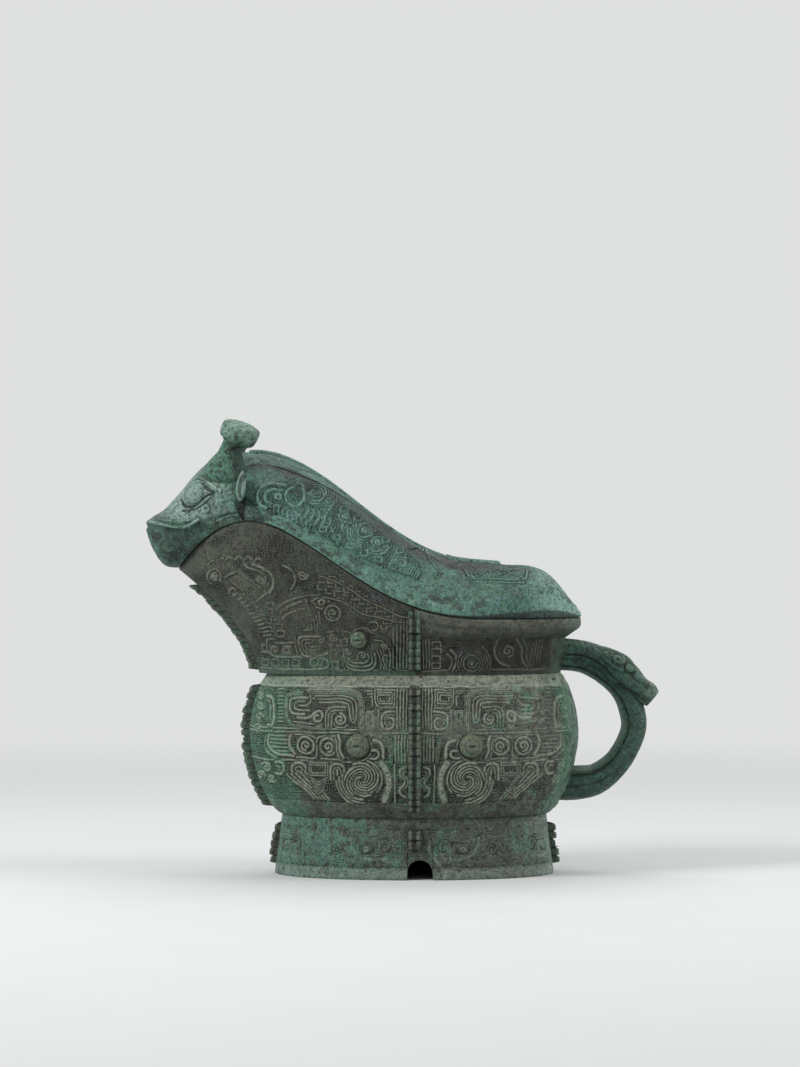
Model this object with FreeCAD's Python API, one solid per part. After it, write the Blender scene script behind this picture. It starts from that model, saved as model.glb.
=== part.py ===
"""Bronze guang: a covered pouring vessel on a ring foot, with an animal-headed cover.

Frame: millimetres, origin at the centre of the foot's resting plane, +Z up.
The spout and the cover's head point along -X, the handle along +X.
The view that shows the vessel's side looks along +Y, so "near" is -Y and "far" is +Y.
"""

import FreeCAD
import Part

import math
import os

Vector = FreeCAD.Vector

# Heights, stacked from the table up
foot_height = 35.0
belly_height = 77.0
belly_widest_above_foot = 46.5
shoulder_height = 5.5
neck_height = 32.5
spout_rise = 56.0
spout_tip_drop = 28.0

# Plan sizes of the body, as half lengths along X and half widths along Y
body_mid_x = 1.3
plan_squareness = 2.1
foot_base_half_length = 82.0
foot_top_half_length = 77.5
foot_base_half_width = 55.0
foot_top_half_width = 51.0
belly_half_length = 96.5
belly_half_width = 63.0
belly_lower_fullness = 1.6
shoulder_half_length = 89.7
shoulder_half_width = 57.5
neck_base_half_length = 86.0
neck_base_half_width = 54.0
neck_top_half_length = 92.0
neck_top_half_width = 58.2
neck_flare = 1.6

# Rim and spout
spout_base_x = -90.0
spout_tip_x = -137.0
spout_sweep = 1.6
spout_plan_p = 2.0
spout_plan_q = 1.75
spout_turn_rate = 1.25
collar_half_length = 98.0
collar_half_width = 60.0
collar_band_height = 6.0
collar_slope_height = 6.0
cover_overhang_at_tip = 1.4
rim_flat_x = 50.0
rim_crest_x = -95.0
rim_skew = 1.42

# Metal thicknesses and running gaps
vessel_wall = 3.2
floor_thickness = 3.5
foot_wall = 4.0
cover_wall = 3.2
cover_gap = 0.4
tongue_clearance = 0.8
tongue_thickness = 2.2
tongue_depth = 6.0

# Casting-seam notch in the near side of the foot
foot_notch_x = 4.5
foot_notch_width = 15.0
foot_notch_height = 11.5

# Cover: height of its spine above the rim, from the back edge to the head
spine_back_height = 2.0
spine_plateau_start = 21.0
spine_plateau_height = 26.5
crest_foot_height = 31.0
spine_waist_height = 33.5
spine_back_peak = 44.5
spine_neck_height = 40.8
crest_back_x = 52.0
crest_front_x = 19.4
peak_x = -45.0
cover_lip = 2.0
gable_exponent = 1.7
plateau_exponent = 2.4
head_back_x = -97.0
dorsal_band_width = 9.0
dorsal_band_height = 1.3
crest_width = 17.0
crest_height = 1.8
panel_thickness = 0.9
panel_sink = 0.5
panel_upper_line = [(-88.0, 21.0), (-80.0, 26.5), (-65.0, 32.0), (-35.0, 36.5), (-5.0, 30.5), (4.5, 27.0)]
panel_lower_line = [(-88.0, 12.0), (-80.0, 9.5), (-65.0, 10.5), (-35.0, 13.0), (-5.0, 16.0), (4.5, 17.0)]

# Handle: a loop on the back with a small bovine head on its shoulder
handle_reach = 32.8
handle_upper_root_above_neck = 6.5
handle_lower_root_above_foot = 17.0
handle_strip_radius = 4.6
handle_waist_radius = 7.2
handle_lower_radius = 9.8
handle_half_width = 8.0
handle_sink = 6.0
handle_head_rise = 6.0
handle_head_length = 55.0
handle_head_half_width = 11.0
handle_head_half_height = 9.4

# Flanges, each a notched rib
flange_thickness = 4.6
flange_projection = 5.8
side_flange_width = 7.0
side_flange_projection = 3.6
side_flange_groove = 1.8
side_flange_groove_depth = 1.2
notch_pitch = 4.2
notch_width = 1.3
notch_depth = 1.4
foot_flange_projection = 4.6
foot_flange_bottom = 5.5
foot_flange_top_margin = 5.5
broken_flange_bottom = 17.0
flange_end_margin = 3.0
spout_flange_length = 50.0

# Bosses and eyes
belly_boss_offset = 32.5
belly_boss_above_foot = 42.5
belly_boss_diameter = 13.4
belly_boss_height = 4.2
neck_boss_x = -31.0
neck_boss_above_neck = 20.5
neck_boss_diameter = 9.6
neck_boss_height = 3.2
eye_x = -126.5
eye_above_crest = 16.7
eye_length = 13.3
eye_height = 14.7
eye_bulge = 3.4

# Head of the cover
snout_tip_x = -155.8
head_wall = 4.0

# Horns and ears
horn_base_x = -111.5
horn_base_y = 15.0
horn_base_above_crest = 28.5
horn_lean_back = 22.0
horn_splay = 20.0
horn_length = 33.0
horn_base_radius = 10.5
horn_stem_radius = 5.7
horn_cap_radius = 10.6
horn_cap_thickness = 8.5
ear_x = -99.5
ear_above_crest = 20.0
ear_height = 17.0
ear_thickness = 5.6
ear_reach = 8.0

# Sampling of curves that are given by formula
plan_points = 40
profile_steps = 12
loop_sections = 24
handle_head_sections = 18
section_points = 16
head_section_points = 32

# Reach of the blocks that other solids are cut with, larger than the vessel
block_reach = 400.0

# Levels worked out from the stack
belly_widest_z = foot_height + belly_widest_above_foot
shoulder_z = foot_height + belly_height
neck_z = shoulder_z + shoulder_height
rim_z = neck_z + neck_height
crest_z = rim_z + spout_rise
tip_z = crest_z - spout_tip_drop
spout_tip_reach = spout_base_x - spout_tip_x


def smooth(t):
    """Ease from 0 to 1 with level ends."""
    t = min(max(t, 0.0), 1.0)
    return t * t * (3.0 - 2.0 * t)


def mix(a, b, t):
    """Value between a and b."""
    return a + (b - a) * t


def curve_through(points, x):
    """Smooth curve through (x, value) points with rising x, level beyond its ends."""
    if x <= points[0][0]:
        return points[0][1]
    if x >= points[-1][0]:
        return points[-1][1]
    i = max(k for k in range(len(points) - 1) if points[k][0] <= x)
    slopes = []
    for k in (i, i + 1):
        a = points[max(k - 1, 0)]
        b = points[min(k + 1, len(points) - 1)]
        slopes.append((b[1] - a[1]) / (b[0] - a[0]))
    width = points[i + 1][0] - points[i][0]
    t = (x - points[i][0]) / width
    h00 = 2 * t**3 - 3 * t**2 + 1
    h10 = t**3 - 2 * t**2 + t
    h01 = 3 * t**2 - 2 * t**3
    h11 = t**3 - t**2
    value = h00 * points[i][1] + h01 * points[i + 1][1]
    return value + (h10 * slopes[0] + h11 * slopes[1]) * width


def steps(start, stop, count):
    """Evenly spaced values from start to stop."""
    return [mix(start, stop, i / (count - 1)) for i in range(count)]


# Rim line and cover spine


def rim_height(x):
    """Height of the joint line between vessel and cover."""
    if x >= rim_crest_x:
        share = (rim_flat_x - x) / (rim_flat_x - rim_crest_x)
        return rim_z + spout_rise * smooth(max(share, 0.0) ** rim_skew)
    share = (rim_crest_x - x) / (rim_crest_x - spout_tip_x)
    return crest_z - spout_tip_drop * share**2


def spine_height(x):
    """Height of the cover's top line."""
    back_x = body_mid_x + collar_half_length
    heights = [
        (head_back_x, spine_neck_height),
        (peak_x, spine_back_peak),
        (crest_front_x, spine_waist_height),
        (crest_back_x, crest_foot_height),
        (back_x - spine_plateau_start, spine_plateau_height),
        (back_x, spine_back_height),
    ]
    return rim_height(x) + curve_through(heights, x)


# Plan outlines


def superpower(value, exponent):
    """Signed power, for superellipse outlines."""
    return math.copysign(abs(value) ** exponent, value)


def plan_wire(z, back, front, half_width, p, q, mid=body_mid_x):
    """Closed outline at height z with a square-shouldered back and a p, q shaped front."""
    points = []
    for i in range(plan_points):
        angle = 2 * math.pi * i / plan_points
        c = math.cos(angle)
        s = math.sin(angle)
        if c >= 0:
            x = mid + back * superpower(c, 2 / plan_squareness)
            y = half_width * superpower(s, 2 / plan_squareness)
        else:
            x = mid + front * superpower(c, 2 / p)
            y = half_width * superpower(s, 2 / q)
        points.append(Vector(x, y, z))
    curve = Part.BSplineCurve()
    curve.interpolate(Points=points, PeriodicFlag=True)
    return Part.Wire([curve.toShape()])


def oval_wire(z, half_length, half_width, mid=body_mid_x):
    """Closed outline with equal front and back."""
    square = plan_squareness
    return plan_wire(z, half_length, half_length, half_width, square, square, mid)


def prism(wire, height):
    """Upright solid over a flat outline."""
    return Part.Face(wire).extrude(Vector(0, 0, height))


def belly_sizes(z):
    """Half length and half width of the belly at height z."""
    if z <= belly_widest_z:
        down = min((belly_widest_z - z) / (belly_widest_z - foot_height), 1.0)
        share = (1 - down**belly_lower_fullness) ** (1 / belly_lower_fullness)
        length = mix(foot_top_half_length, belly_half_length, share)
        width = mix(foot_top_half_width, belly_half_width, share)
        return length, width
    if z <= shoulder_z:
        share = ((z - belly_widest_z) / (shoulder_z - belly_widest_z)) ** 2
        length = mix(belly_half_length, shoulder_half_length, share)
        width = mix(belly_half_width, shoulder_half_width, share)
        return length, width
    share = (z - shoulder_z) / shoulder_height
    length = mix(shoulder_half_length, neck_base_half_length, share)
    width = mix(shoulder_half_width, neck_base_half_width, share)
    return length, width


def foot_sizes(z):
    """Half length and half width of the foot at height z."""
    share = z / foot_height
    length = mix(foot_base_half_length, foot_top_half_length, share)
    width = mix(foot_base_half_width, foot_top_half_width, share)
    return length, width


def neck_sizes(z):
    """Back length, half width, front x and front exponents of the neck at height z."""
    rise = min(max((z - neck_z) / neck_height, 0.0), 1.0) ** neck_flare
    back = mix(neck_base_half_length, neck_top_half_length, rise)
    width = mix(neck_base_half_width, neck_top_half_width, rise)
    share = min(max((z - neck_z) / (tip_z - neck_z), 0.0), 1.0)
    front_x = spout_base_x - spout_tip_reach * share**spout_sweep
    turn = smooth(share * spout_turn_rate)
    p = mix(plan_squareness, spout_plan_p, turn)
    q = mix(plan_squareness, spout_plan_q, turn)
    return back, width, front_x, p, q


def neck_wire(z, inset):
    """Outline of the neck at height z, drawn in by inset."""
    back, width, front_x, p, q = neck_sizes(z)
    front = body_mid_x - front_x
    return plan_wire(z, back - inset, front - inset, width - inset, p, q)


def collar_wire(z, inset=0.0):
    """Outline of the rim's collar and of the cover's edge."""
    front = body_mid_x - spout_tip_x + cover_overhang_at_tip
    back = collar_half_length
    width = collar_half_width
    p = spout_plan_p
    q = spout_plan_q
    return plan_wire(z, back - inset, front - inset, width - inset, p, q)


# Blocks and cuts


def belly_solid(inset, bottom_z, top_z):
    """Solid of the belly, with each section drawn in by inset."""
    wires = []
    for share in steps(0.0, 1.0, 6):
        z = mix(foot_height, belly_widest_z, share**1.5)
        if z > bottom_z:
            length, width = belly_sizes(z)
            wires.append(oval_wire(z, length - inset, width - inset))
    length, width = belly_sizes(bottom_z)
    wires.insert(0, oval_wire(bottom_z, length - inset, width - inset))
    for z in steps(belly_widest_z, shoulder_z, 5)[1:]:
        length, width = belly_sizes(z)
        wires.append(oval_wire(z, length - inset, width - inset))
    body = Part.makeLoft(wires, True)
    length, width = belly_sizes(top_z)
    last = oval_wire(top_z, length - inset, width - inset)
    shoulder = Part.makeLoft([wires[-1], last], True, True)
    return body.fuse(shoulder).removeSplitter()


def neck_solid(inset):
    """Solid of the neck and spout up to above the rim, drawn in by inset."""
    top_z = crest_z + spine_back_peak
    wires = [neck_wire(z, inset) for z in steps(neck_z, tip_z, 8)]
    lower = Part.makeLoft(wires, True)
    upper = prism(neck_wire(tip_z, inset), top_z - tip_z)
    return lower.fuse(upper).removeSplitter()


def rim_block(offset, upward):
    """Solid above or below the rim line, moved up by offset."""
    far_x = body_mid_x + collar_half_length + handle_reach
    line = [Vector(x, -100, rim_height(x) + offset) for x in steps(snout_tip_x - 4, far_x, 44)]
    curve = Part.BSplineCurve()
    curve.interpolate(Points=line)
    level = crest_z + 100 if upward else -10.0
    first = Vector(line[0].x, -100, level)
    last = Vector(line[-1].x, -100, level)
    edges = [
        curve.toShape(),
        Part.makeLine(line[-1], last),
        Part.makeLine(last, first),
        Part.makeLine(first, line[0]),
    ]
    return Part.Face(Part.Wire(edges)).extrude(Vector(0, 200, 0))


def roof_height(x, share):
    """Height of the cover's top surface at a share of the roof's half width."""
    base = rim_height(x) + cover_lip
    rise = max(spine_height(x) - base, 0.0)
    flat = smooth((x - peak_x) / (crest_back_x - peak_x))
    exponent = mix(gable_exponent, plateau_exponent, flat)
    return base + rise * (1 - abs(share) ** exponent)


def cover_surface(drop, swell=0.0):
    """Top surface of the cover, lowered by drop and moved out by swell."""
    step = 0.01
    rows = []
    for x in steps(head_back_x - 8, body_mid_x + collar_half_length + 8, 34):
        half_width = roof_half_width(x)
        row = []
        for share in steps(-1.2, 1.2, 17):
            z = roof_height(x, share)
            y = share * half_width
            slope_x = (roof_height(x + step, y / roof_half_width(x + step)) - z) / step
            slope_y = (roof_height(x, share + step) - roof_height(x, share - step)) / (2 * step * half_width)
            outward = Vector(-slope_x, -slope_y, 1).normalize()
            row.append(Vector(x, y, z - drop) + outward * swell)
        rows.append(row)
    surface = Part.BSplineSurface()
    surface.interpolate(rows)
    return surface.toShape()


def roof_half_width(x):
    """Half width over which the cover's roof falls to its lip."""
    if x >= body_mid_x:
        return collar_half_width
    front = body_mid_x - spout_tip_x + cover_overhang_at_tip
    share = (body_mid_x - x) / front
    return collar_half_width * (1 - share**spout_plan_p) ** (1 / spout_plan_q)


# Vessel


def foot_ring():
    """Hollow foot with its casting notch in the near side."""
    outer = []
    inner = []
    for z in (0.0, foot_height):
        length, width = foot_sizes(z)
        outer.append(oval_wire(z, length, width))
        inner.append(oval_wire(z, length - foot_wall, width - foot_wall))
    ring = Part.makeLoft(outer, True, True).cut(Part.makeLoft(inner, True, True))
    radius = foot_notch_width / 2
    spring_z = foot_notch_height - radius
    corner = Vector(foot_notch_x - radius, -100, -1)
    notch = Part.makeBox(foot_notch_width, 100, spring_z + 1, corner)
    arch_centre = Vector(foot_notch_x, -100, spring_z)
    arch = Part.makeCylinder(radius, 100, arch_centre, Vector(0, 1, 0))
    return ring.cut(notch.fuse(arch))


def belly_bowl(belly):
    """Belly and shoulder wall with the vessel's floor."""
    inside = belly_solid(vessel_wall, foot_height + floor_thickness, neck_z)
    return belly.cut(inside)


def collar_solid():
    """Solid of the plain collar round the back of the rim, sloped below."""
    band_z = rim_z - collar_band_height
    slope_z = band_z - collar_slope_height
    slope = Part.makeLoft([neck_wire(slope_z, vessel_wall / 2), collar_wire(band_z)], True, True)
    band = prism(collar_wire(band_z), crest_z - band_z)
    back = Part.makeBox(block_reach, block_reach, block_reach, Vector(body_mid_x, -block_reach / 2, 0))
    depth = collar_band_height + collar_slope_height
    return slope.fuse(band).common(back).common(rim_block(-depth, True))


def neck_and_spout(neck_form):
    """Neck, spout and collar wall, open at the top."""
    form = neck_form.cut(rim_block(0.0, True))
    return form.cut(neck_solid(vessel_wall))


# Handle


def round_wire(x, z, across, radius, half_width):
    """Oval section at (x, z), with its height along the direction across."""
    points = []
    for i in range(section_points):
        angle = 2 * math.pi * i / section_points
        side = Vector(0, half_width * math.sin(angle), 0)
        points.append(Vector(x, 0, z) + across * (radius * math.cos(angle)) + side)
    curve = Part.BSplineCurve()
    curve.interpolate(Points=points, PeriodicFlag=True)
    return Part.Wire([curve.toShape()])


def swept_form(stations, count):
    """Smooth solid in the plane of symmetry through (x, z, half height, half width) stations."""
    places = [0.0]
    for first, second in zip(stations, stations[1:]):
        places.append(places[-1] + math.hypot(second[0] - first[0], second[1] - first[1]))
    tracks = [[(place, station[k]) for place, station in zip(places, stations)] for k in range(4)]
    wires = []
    for place in steps(0.0, places[-1], count):
        x, z, half_height, half_width = (curve_through(track, place) for track in tracks)
        before = max(place - 0.5, 0.0)
        after = min(place + 0.5, places[-1])
        run_x = curve_through(tracks[0], after) - curve_through(tracks[0], before)
        run_z = curve_through(tracks[1], after) - curve_through(tracks[1], before)
        across = Vector(-run_z, 0, run_x)
        across.normalize()
        wires.append(round_wire(x, z, across, half_height, half_width))
    return Part.makeLoft(wires, True)


def handle_stations():
    """Centre x, z, half height and half width along the loop, from the upper root down."""
    upper_x = body_mid_x + neck_base_half_length
    upper_z = neck_z + handle_upper_root_above_neck
    lower_z = foot_height + handle_lower_root_above_foot
    lower_x = body_mid_x + belly_sizes(lower_z)[0]
    outer_x = body_mid_x + belly_half_length + handle_reach
    reach = outer_x - upper_x
    drop = upper_z - lower_z
    strip = handle_strip_radius
    waist = handle_waist_radius
    foot = handle_lower_radius
    wide = handle_half_width
    slim = 0.8 * wide
    return [
        (upper_x - handle_sink, upper_z, strip, slim),
        (upper_x + 0.26 * reach, upper_z - 0.02 * drop, strip, slim),
        (upper_x + 0.56 * reach, upper_z - 0.11 * drop, strip, slim),
        (upper_x + 0.81 * reach, upper_z - 0.24 * drop, strip * 1.15, slim),
        (outer_x - 0.04 * reach, upper_z - 0.38 * drop, waist, wide),
        (outer_x, upper_z - 0.53 * drop, waist, wide),
        (outer_x - 0.08 * reach, upper_z - 0.68 * drop, waist, wide),
        (outer_x - 0.25 * reach, upper_z - 0.84 * drop, waist * 1.05, wide),
        (outer_x - 0.52 * reach, upper_z - 0.965 * drop, foot * 0.9, wide),
        (outer_x - 0.78 * reach, lower_z + 0.4, foot, wide),
        (lower_x - handle_sink, lower_z, foot, wide),
    ]


def handle_loop(vessel):
    """Loop that joins the neck to the belly."""
    return swept_form(handle_stations(), loop_sections).cut(vessel)


def handle_head_stations():
    """Centre x, z, half height and half width from the head's root to its muzzle."""
    x = body_mid_x + neck_base_half_length
    z = neck_z + handle_upper_root_above_neck + handle_head_rise
    length = handle_head_length
    tall = handle_head_half_height
    wide = handle_head_half_width
    return [
        (x - handle_sink, z + 0.5, 0.82 * tall, 0.78 * wide),
        (x + 0.22 * length, z - 0.5, 0.72 * tall, 0.74 * wide),
        (x + 0.42 * length, z - 4.5, 0.78 * tall, 0.86 * wide),
        (x + 0.60 * length, z - 11.0, 1.0 * tall, 1.0 * wide),
        (x + 0.72 * length, z - 16.0, 0.92 * tall, 0.90 * wide),
        (x + 0.84 * length, z - 21.5, 0.72 * tall, 0.74 * wide),
        (x + 0.93 * length, z - 25.5, 0.76 * tall, 0.80 * wide),
        (x + 0.985 * length, z - 28.0, 0.60 * tall, 0.62 * wide),
    ]


def handle_head(vessel, loop):
    """Bovine head that grows out of the neck over the loop and looks back."""
    return swept_form(handle_head_stations(), handle_head_sections).cut(vessel).cut(loop)


# Flanges


def notched(count_from, count_to, projection):
    """Heights and projections along a rib that is notched at an even pitch."""
    count = max(int((count_to - count_from) / notch_pitch), 1)
    pitch = (count_to - count_from) / count
    places = []
    for i in range(count):
        low = count_from + i * pitch
        places.append((low, projection))
        places.append((low + pitch - notch_width, projection))
        places.append((low + pitch - notch_width, projection - notch_depth))
        places.append((low + pitch, projection - notch_depth))
    return places


def rib(edge, low, high, projection, plane):
    """Flat notched rib over the outline edge(z), from low to high.

    plane turns (outward, z) into a point, and the rib is later thickened across it.
    """
    outer = [plane(edge(z) + out, z) for z, out in notched(low, high, projection)]
    inner = [plane(edge(z) - vessel_wall / 2, z) for z in steps(high, low, profile_steps)]
    return Part.Face(Part.makePolygon(outer + inner + [outer[0]]))


def front_rib(edge, low, high, projection, thickness):
    """Rib on the front or back outline, in the plane of symmetry."""
    face = rib(edge, low, high, projection, lambda out, z: Vector(out, -thickness / 2, z))
    return face.extrude(Vector(0, thickness, 0))


def flip_x(shape):
    """Mirror image across the plane X = 0."""
    return shape.mirror(Vector(0, 0, 0), Vector(1, 0, 0))


def flip_y(shape):
    """Mirror image across the plane of symmetry."""
    return shape.mirror(Vector(0, 0, 0), Vector(0, 1, 0))


def side_rib(edge, low, high):
    """Double notched rib on the near side, split by a shallow groove."""
    start = body_mid_x - side_flange_width / 2
    projection = side_flange_projection
    face = rib(edge, low, high, projection, lambda out, z: Vector(start, -out, z))
    solid = face.extrude(Vector(side_flange_width, 0, 0))
    groove_start = body_mid_x - side_flange_groove / 2
    depth = side_flange_groove_depth
    wide = [Vector(groove_start, -edge(z) - projection + depth, z) for z in steps(low - 1, high + 1, 10)]
    wide.append(Vector(groove_start, -edge(high) - projection - 9, high + 1))
    wide.append(Vector(groove_start, -edge(low) - projection - 9, low - 1))
    groove = Part.Face(Part.makePolygon(wide + [wide[0]]))
    return solid.cut(groove.extrude(Vector(side_flange_groove, 0, 0)))


def belly_front(z):
    """Belly outline on the spout side, positive outwards from X = 0."""
    return belly_sizes(z)[0] - body_mid_x


def belly_side(z):
    """Belly outline on the near side, positive outwards."""
    return belly_sizes(z)[1]


def neck_side(z):
    """Neck outline on the near side, positive outwards."""
    return neck_sizes(z)[1]


def foot_side(z):
    """Foot outline on the near side, positive outwards."""
    return foot_sizes(z)[1]


def spout_flange(vessel):
    """Notched rib under the spout."""
    low = neck_z + flange_end_margin / 2
    edge = lambda z: -neck_sizes(z)[2]
    solid = front_rib(edge, low, low + spout_flange_length, flange_projection, flange_thickness)
    return flip_x(solid).cut(vessel)


def belly_flange_front(vessel):
    """Notched rib on the belly under the spout."""
    low = foot_height + flange_end_margin + 1
    high = shoulder_z - flange_end_margin / 2
    solid = front_rib(belly_front, low, high, flange_projection, flange_thickness)
    return flip_x(solid).cut(vessel)


def foot_flange_end(vessel, direction):
    """Notched rib on the foot, at the front for -1 and at the back for +1."""
    edge = lambda z: foot_sizes(z)[0] + direction * body_mid_x
    high = foot_height - foot_flange_top_margin
    solid = front_rib(edge, foot_flange_bottom, high, foot_flange_projection, flange_thickness)
    if direction < 0:
        solid = flip_x(solid)
    return solid.cut(vessel)


# Bosses and eyes


def dome(place, outward, diameter, height, carrier):
    """Round dome that stands height above the carrier's surface at place."""
    radius = ((diameter / 2) ** 2 + height**2) / (2 * height)
    centre = place + outward * (height - radius)
    return Part.makeSphere(radius, centre).cut(carrier)


def side_place(x, half_length, half_width, p, q):
    """Point and outward direction, in plan, on the near side of an outline."""
    share = abs(x - body_mid_x) / half_length
    y = half_width * (1 - share**p) ** (1 / q)
    slope = half_width / half_length * (p / q) * share ** (p - 1) * (y / half_width) ** (1 - q)
    outward = Vector(math.copysign(slope, x - body_mid_x), -1, 0)
    outward.normalize()
    return y, outward


def belly_bosses(vessel):
    """Pair of eye bosses on the near side of the belly."""
    z = foot_height + belly_boss_above_foot
    length, width = belly_sizes(z)
    domes = []
    for side in (-1, 1):
        x = body_mid_x + side * belly_boss_offset
        y, outward = side_place(x, length, width, plan_squareness, plan_squareness)
        place = Vector(x, -y, z)
        domes.append(dome(place, outward, belly_boss_diameter, belly_boss_height, vessel))
    return Part.makeCompound(domes)


def neck_boss(vessel):
    """Eye boss of the dragon on the near side of the neck."""
    z = neck_z + neck_boss_above_neck
    back, width, front_x, p, q = neck_sizes(z)
    y, outward = side_place(neck_boss_x, body_mid_x - front_x, width, p, q)
    place = Vector(neck_boss_x, -y, z)
    return dome(place, outward, neck_boss_diameter, neck_boss_height, vessel)


# Cover


def cover_block(wire, surface_drop):
    """Solid under the cover's top surface, over an outline, behind the head."""
    block = prism(wire, crest_z + spine_back_peak - neck_z)
    above = cover_surface(surface_drop).extrude(Vector(0, 0, 150))
    back = Part.makeBox(block_reach, block_reach, block_reach, Vector(head_back_x, -block_reach / 2, 0))
    return block.common(rim_block(cover_gap, True)).common(back).cut(above)


def hollow_wire(z):
    """Outline of the hollow inside the cover, inside its tongue."""
    inset = vessel_wall + tongue_clearance + tongue_thickness
    front = body_mid_x - spout_tip_x
    back = neck_top_half_length - inset
    width = neck_top_half_width - inset
    return plan_wire(z, back, front - inset, width, spout_plan_p, spout_plan_q)


def panel_line(points):
    """Curve in the plane of symmetry through points given by x and height above the rim."""
    curve = Part.BSplineCurve()
    curve.interpolate(Points=[Vector(x, 0, rim_height(x) + above) for x, above in points])
    return curve.toShape()


def side_panels():
    """Raised fields on both sides of the cover's back."""
    upper, lower = panel_line(panel_upper_line), panel_line(panel_lower_line)
    ends = []
    for t in (upper.FirstParameter, upper.LastParameter):
        ends.append(Part.makeLine(upper.valueAt(t), lower.valueAt(t)))
    face = Part.Face(Part.Wire(Part.__sortEdges__([upper, lower, *ends])))
    field = face.extrude(Vector(0, block_reach, 0))
    field = field.fuse(flip_y(field))
    above = cover_surface(panel_sink).extrude(Vector(0, 0, block_reach))
    return field.common(above).cut(cover_surface(0.0, panel_thickness).extrude(Vector(0, 0, block_reach)))


def cover_shell(form):
    """Saddle-shaped cover behind the head, hollow below, with a raised panel on each side."""
    shell = form.cut(cover_block(hollow_wire(neck_z), cover_wall))
    return shell.fuse(side_panels())


def cover_tongue():
    """Lip under the cover that locates it inside the vessel's mouth."""
    inset = vessel_wall + tongue_clearance
    ring = neck_solid(inset).cut(neck_solid(inset + tongue_thickness))
    slab = rim_block(-tongue_depth, True).cut(rim_block(cover_gap, True))
    return ring.common(slab)


def raised_band(x_front, x_back, width, height):
    """Strip that stands on the cover's top surface along its spine."""
    skin = cover_surface(0.0).extrude(Vector(0, 0, height))
    box = Part.makeBox(x_back - x_front, width, block_reach, Vector(x_front, -width / 2, 0))
    return skin.common(box)


def head_wire(station, inset):
    """Section of the head across X, drawn in by inset."""
    share, top, middle, bottom, half_width, a, b = station
    x = mix(head_back_x, snout_tip_x, share)
    upper = top - inset - middle
    lower = middle - bottom - inset
    points = []
    for i in range(head_section_points):
        angle = 2 * math.pi * i / head_section_points
        c = math.cos(angle)
        s = math.sin(angle)
        if s >= 0:
            z = middle + upper * superpower(s, 2 / b)
            y = (half_width - inset) * superpower(c, 2 / a)
        else:
            z = middle + lower * superpower(s, 0.8)
            y = (half_width - inset) * superpower(c, 0.8)
        points.append(Vector(x, y, z))
    curve = Part.BSplineCurve()
    curve.interpolate(Points=points, PeriodicFlag=True)
    return Part.Wire([curve.toShape()])


def head_stations():
    """Share of the length, top, middle, bottom, half width and exponents along the head."""
    crest = crest_z
    peak = crest + spine_neck_height
    return [
        (0.00, peak, crest, crest - 24, roof_half_width(head_back_x), 1.7, 1.1),
        (0.16, peak - 0.8, crest + 2, crest - 24, 37.0, 1.9, 1.5),
        (0.34, peak - 4.0, crest + 7, crest - 24, 32.5, 2.2, 1.9),
        (0.52, peak - 13.5, crest + 7, crest - 26, 30.0, 2.5, 2.1),
        (0.66, peak - 23.5, crest + 2, crest - 27, 27.5, 2.6, 2.2),
        (0.82, peak - 33.6, crest - 4, crest - 25.5, 23.0, 2.5, 2.2),
        (0.93, peak - 37.5, crest - 6, crest - 17, 17.0, 2.3, 2.0),
        (1.00, peak - 40.5, crest - 3, crest - 6, 9.5, 2.0, 2.0),
    ]


def head_solid(inset, count):
    """Solid of the head through its first sections, above the rim line."""
    wires = [head_wire(station, inset) for station in head_stations()[:count]]
    return Part.makeLoft(wires, True)


def cover_head():
    """Horned animal's head that closes the spout, hollow behind the snout."""
    outer = head_solid(0.0, 8).common(rim_block(cover_gap, True))
    depth = crest_z + spine_back_peak - neck_z
    inner = head_solid(head_wall, 6).common(prism(hollow_wire(neck_z), depth))
    return outer.cut(inner)


def eye(head):
    """Bulging eye on the near side of the head."""
    z = crest_z + eye_above_crest
    y = eye_surface_y(z)
    ball = Part.makeSphere(1.0)
    matrix = FreeCAD.Matrix()
    matrix.scale(Vector(eye_length / 2, 1.3 * eye_bulge, eye_height / 2))
    oval = ball.transformGeometry(matrix)
    oval.translate(Vector(eye_x, -y + 0.3 * eye_bulge, z))
    return oval.cut(head)


def eye_surface_y(z):
    """Half width of the head's side where the eye sits."""
    share, top, middle, bottom, half_width, a, b = head_stations()[3]
    rise = (z - middle) / (top - middle)
    return half_width * (1 - rise**b) ** (1 / a)


def horn(carrier):
    """Bottle-shaped horn on the near side: flared base, stem and thick disc."""
    base = horn_base_radius
    stem = horn_stem_radius
    cap = horn_cap_radius
    neck = horn_length - horn_cap_thickness
    points = [
        Vector(base * 1.15, 0, -6),
        Vector(base, 0, 1.5),
        Vector(stem * 1.25, 0, 6.5),
        Vector(stem, 0, 0.52 * neck),
        Vector(stem * 1.1, 0, neck - 3),
        Vector(cap * 0.9, 0, neck + 0.5),
        Vector(cap, 0, neck + 0.55 * horn_cap_thickness),
        Vector(cap * 0.84, 0, horn_length),
    ]
    curve = Part.BSplineCurve()
    curve.interpolate(Points=points)
    top = Vector(0, 0, horn_length)
    foot = Vector(0, 0, -6)
    edges = [
        curve.toShape(),
        Part.makeLine(points[-1], top),
        Part.makeLine(top, foot),
        Part.makeLine(foot, points[0]),
    ]
    solid = Part.Face(Part.Wire(edges)).revolve(Vector(0, 0, 0), Vector(0, 0, 1), 360)
    solid.rotate(Vector(0, 0, 0), Vector(0, 1, 0), horn_lean_back)
    solid.rotate(Vector(0, 0, 0), Vector(1, 0, 0), horn_splay)
    base_z = crest_z + horn_base_above_crest
    solid.translate(Vector(horn_base_x, -horn_base_y, base_z))
    return solid.cut(carrier)


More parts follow.
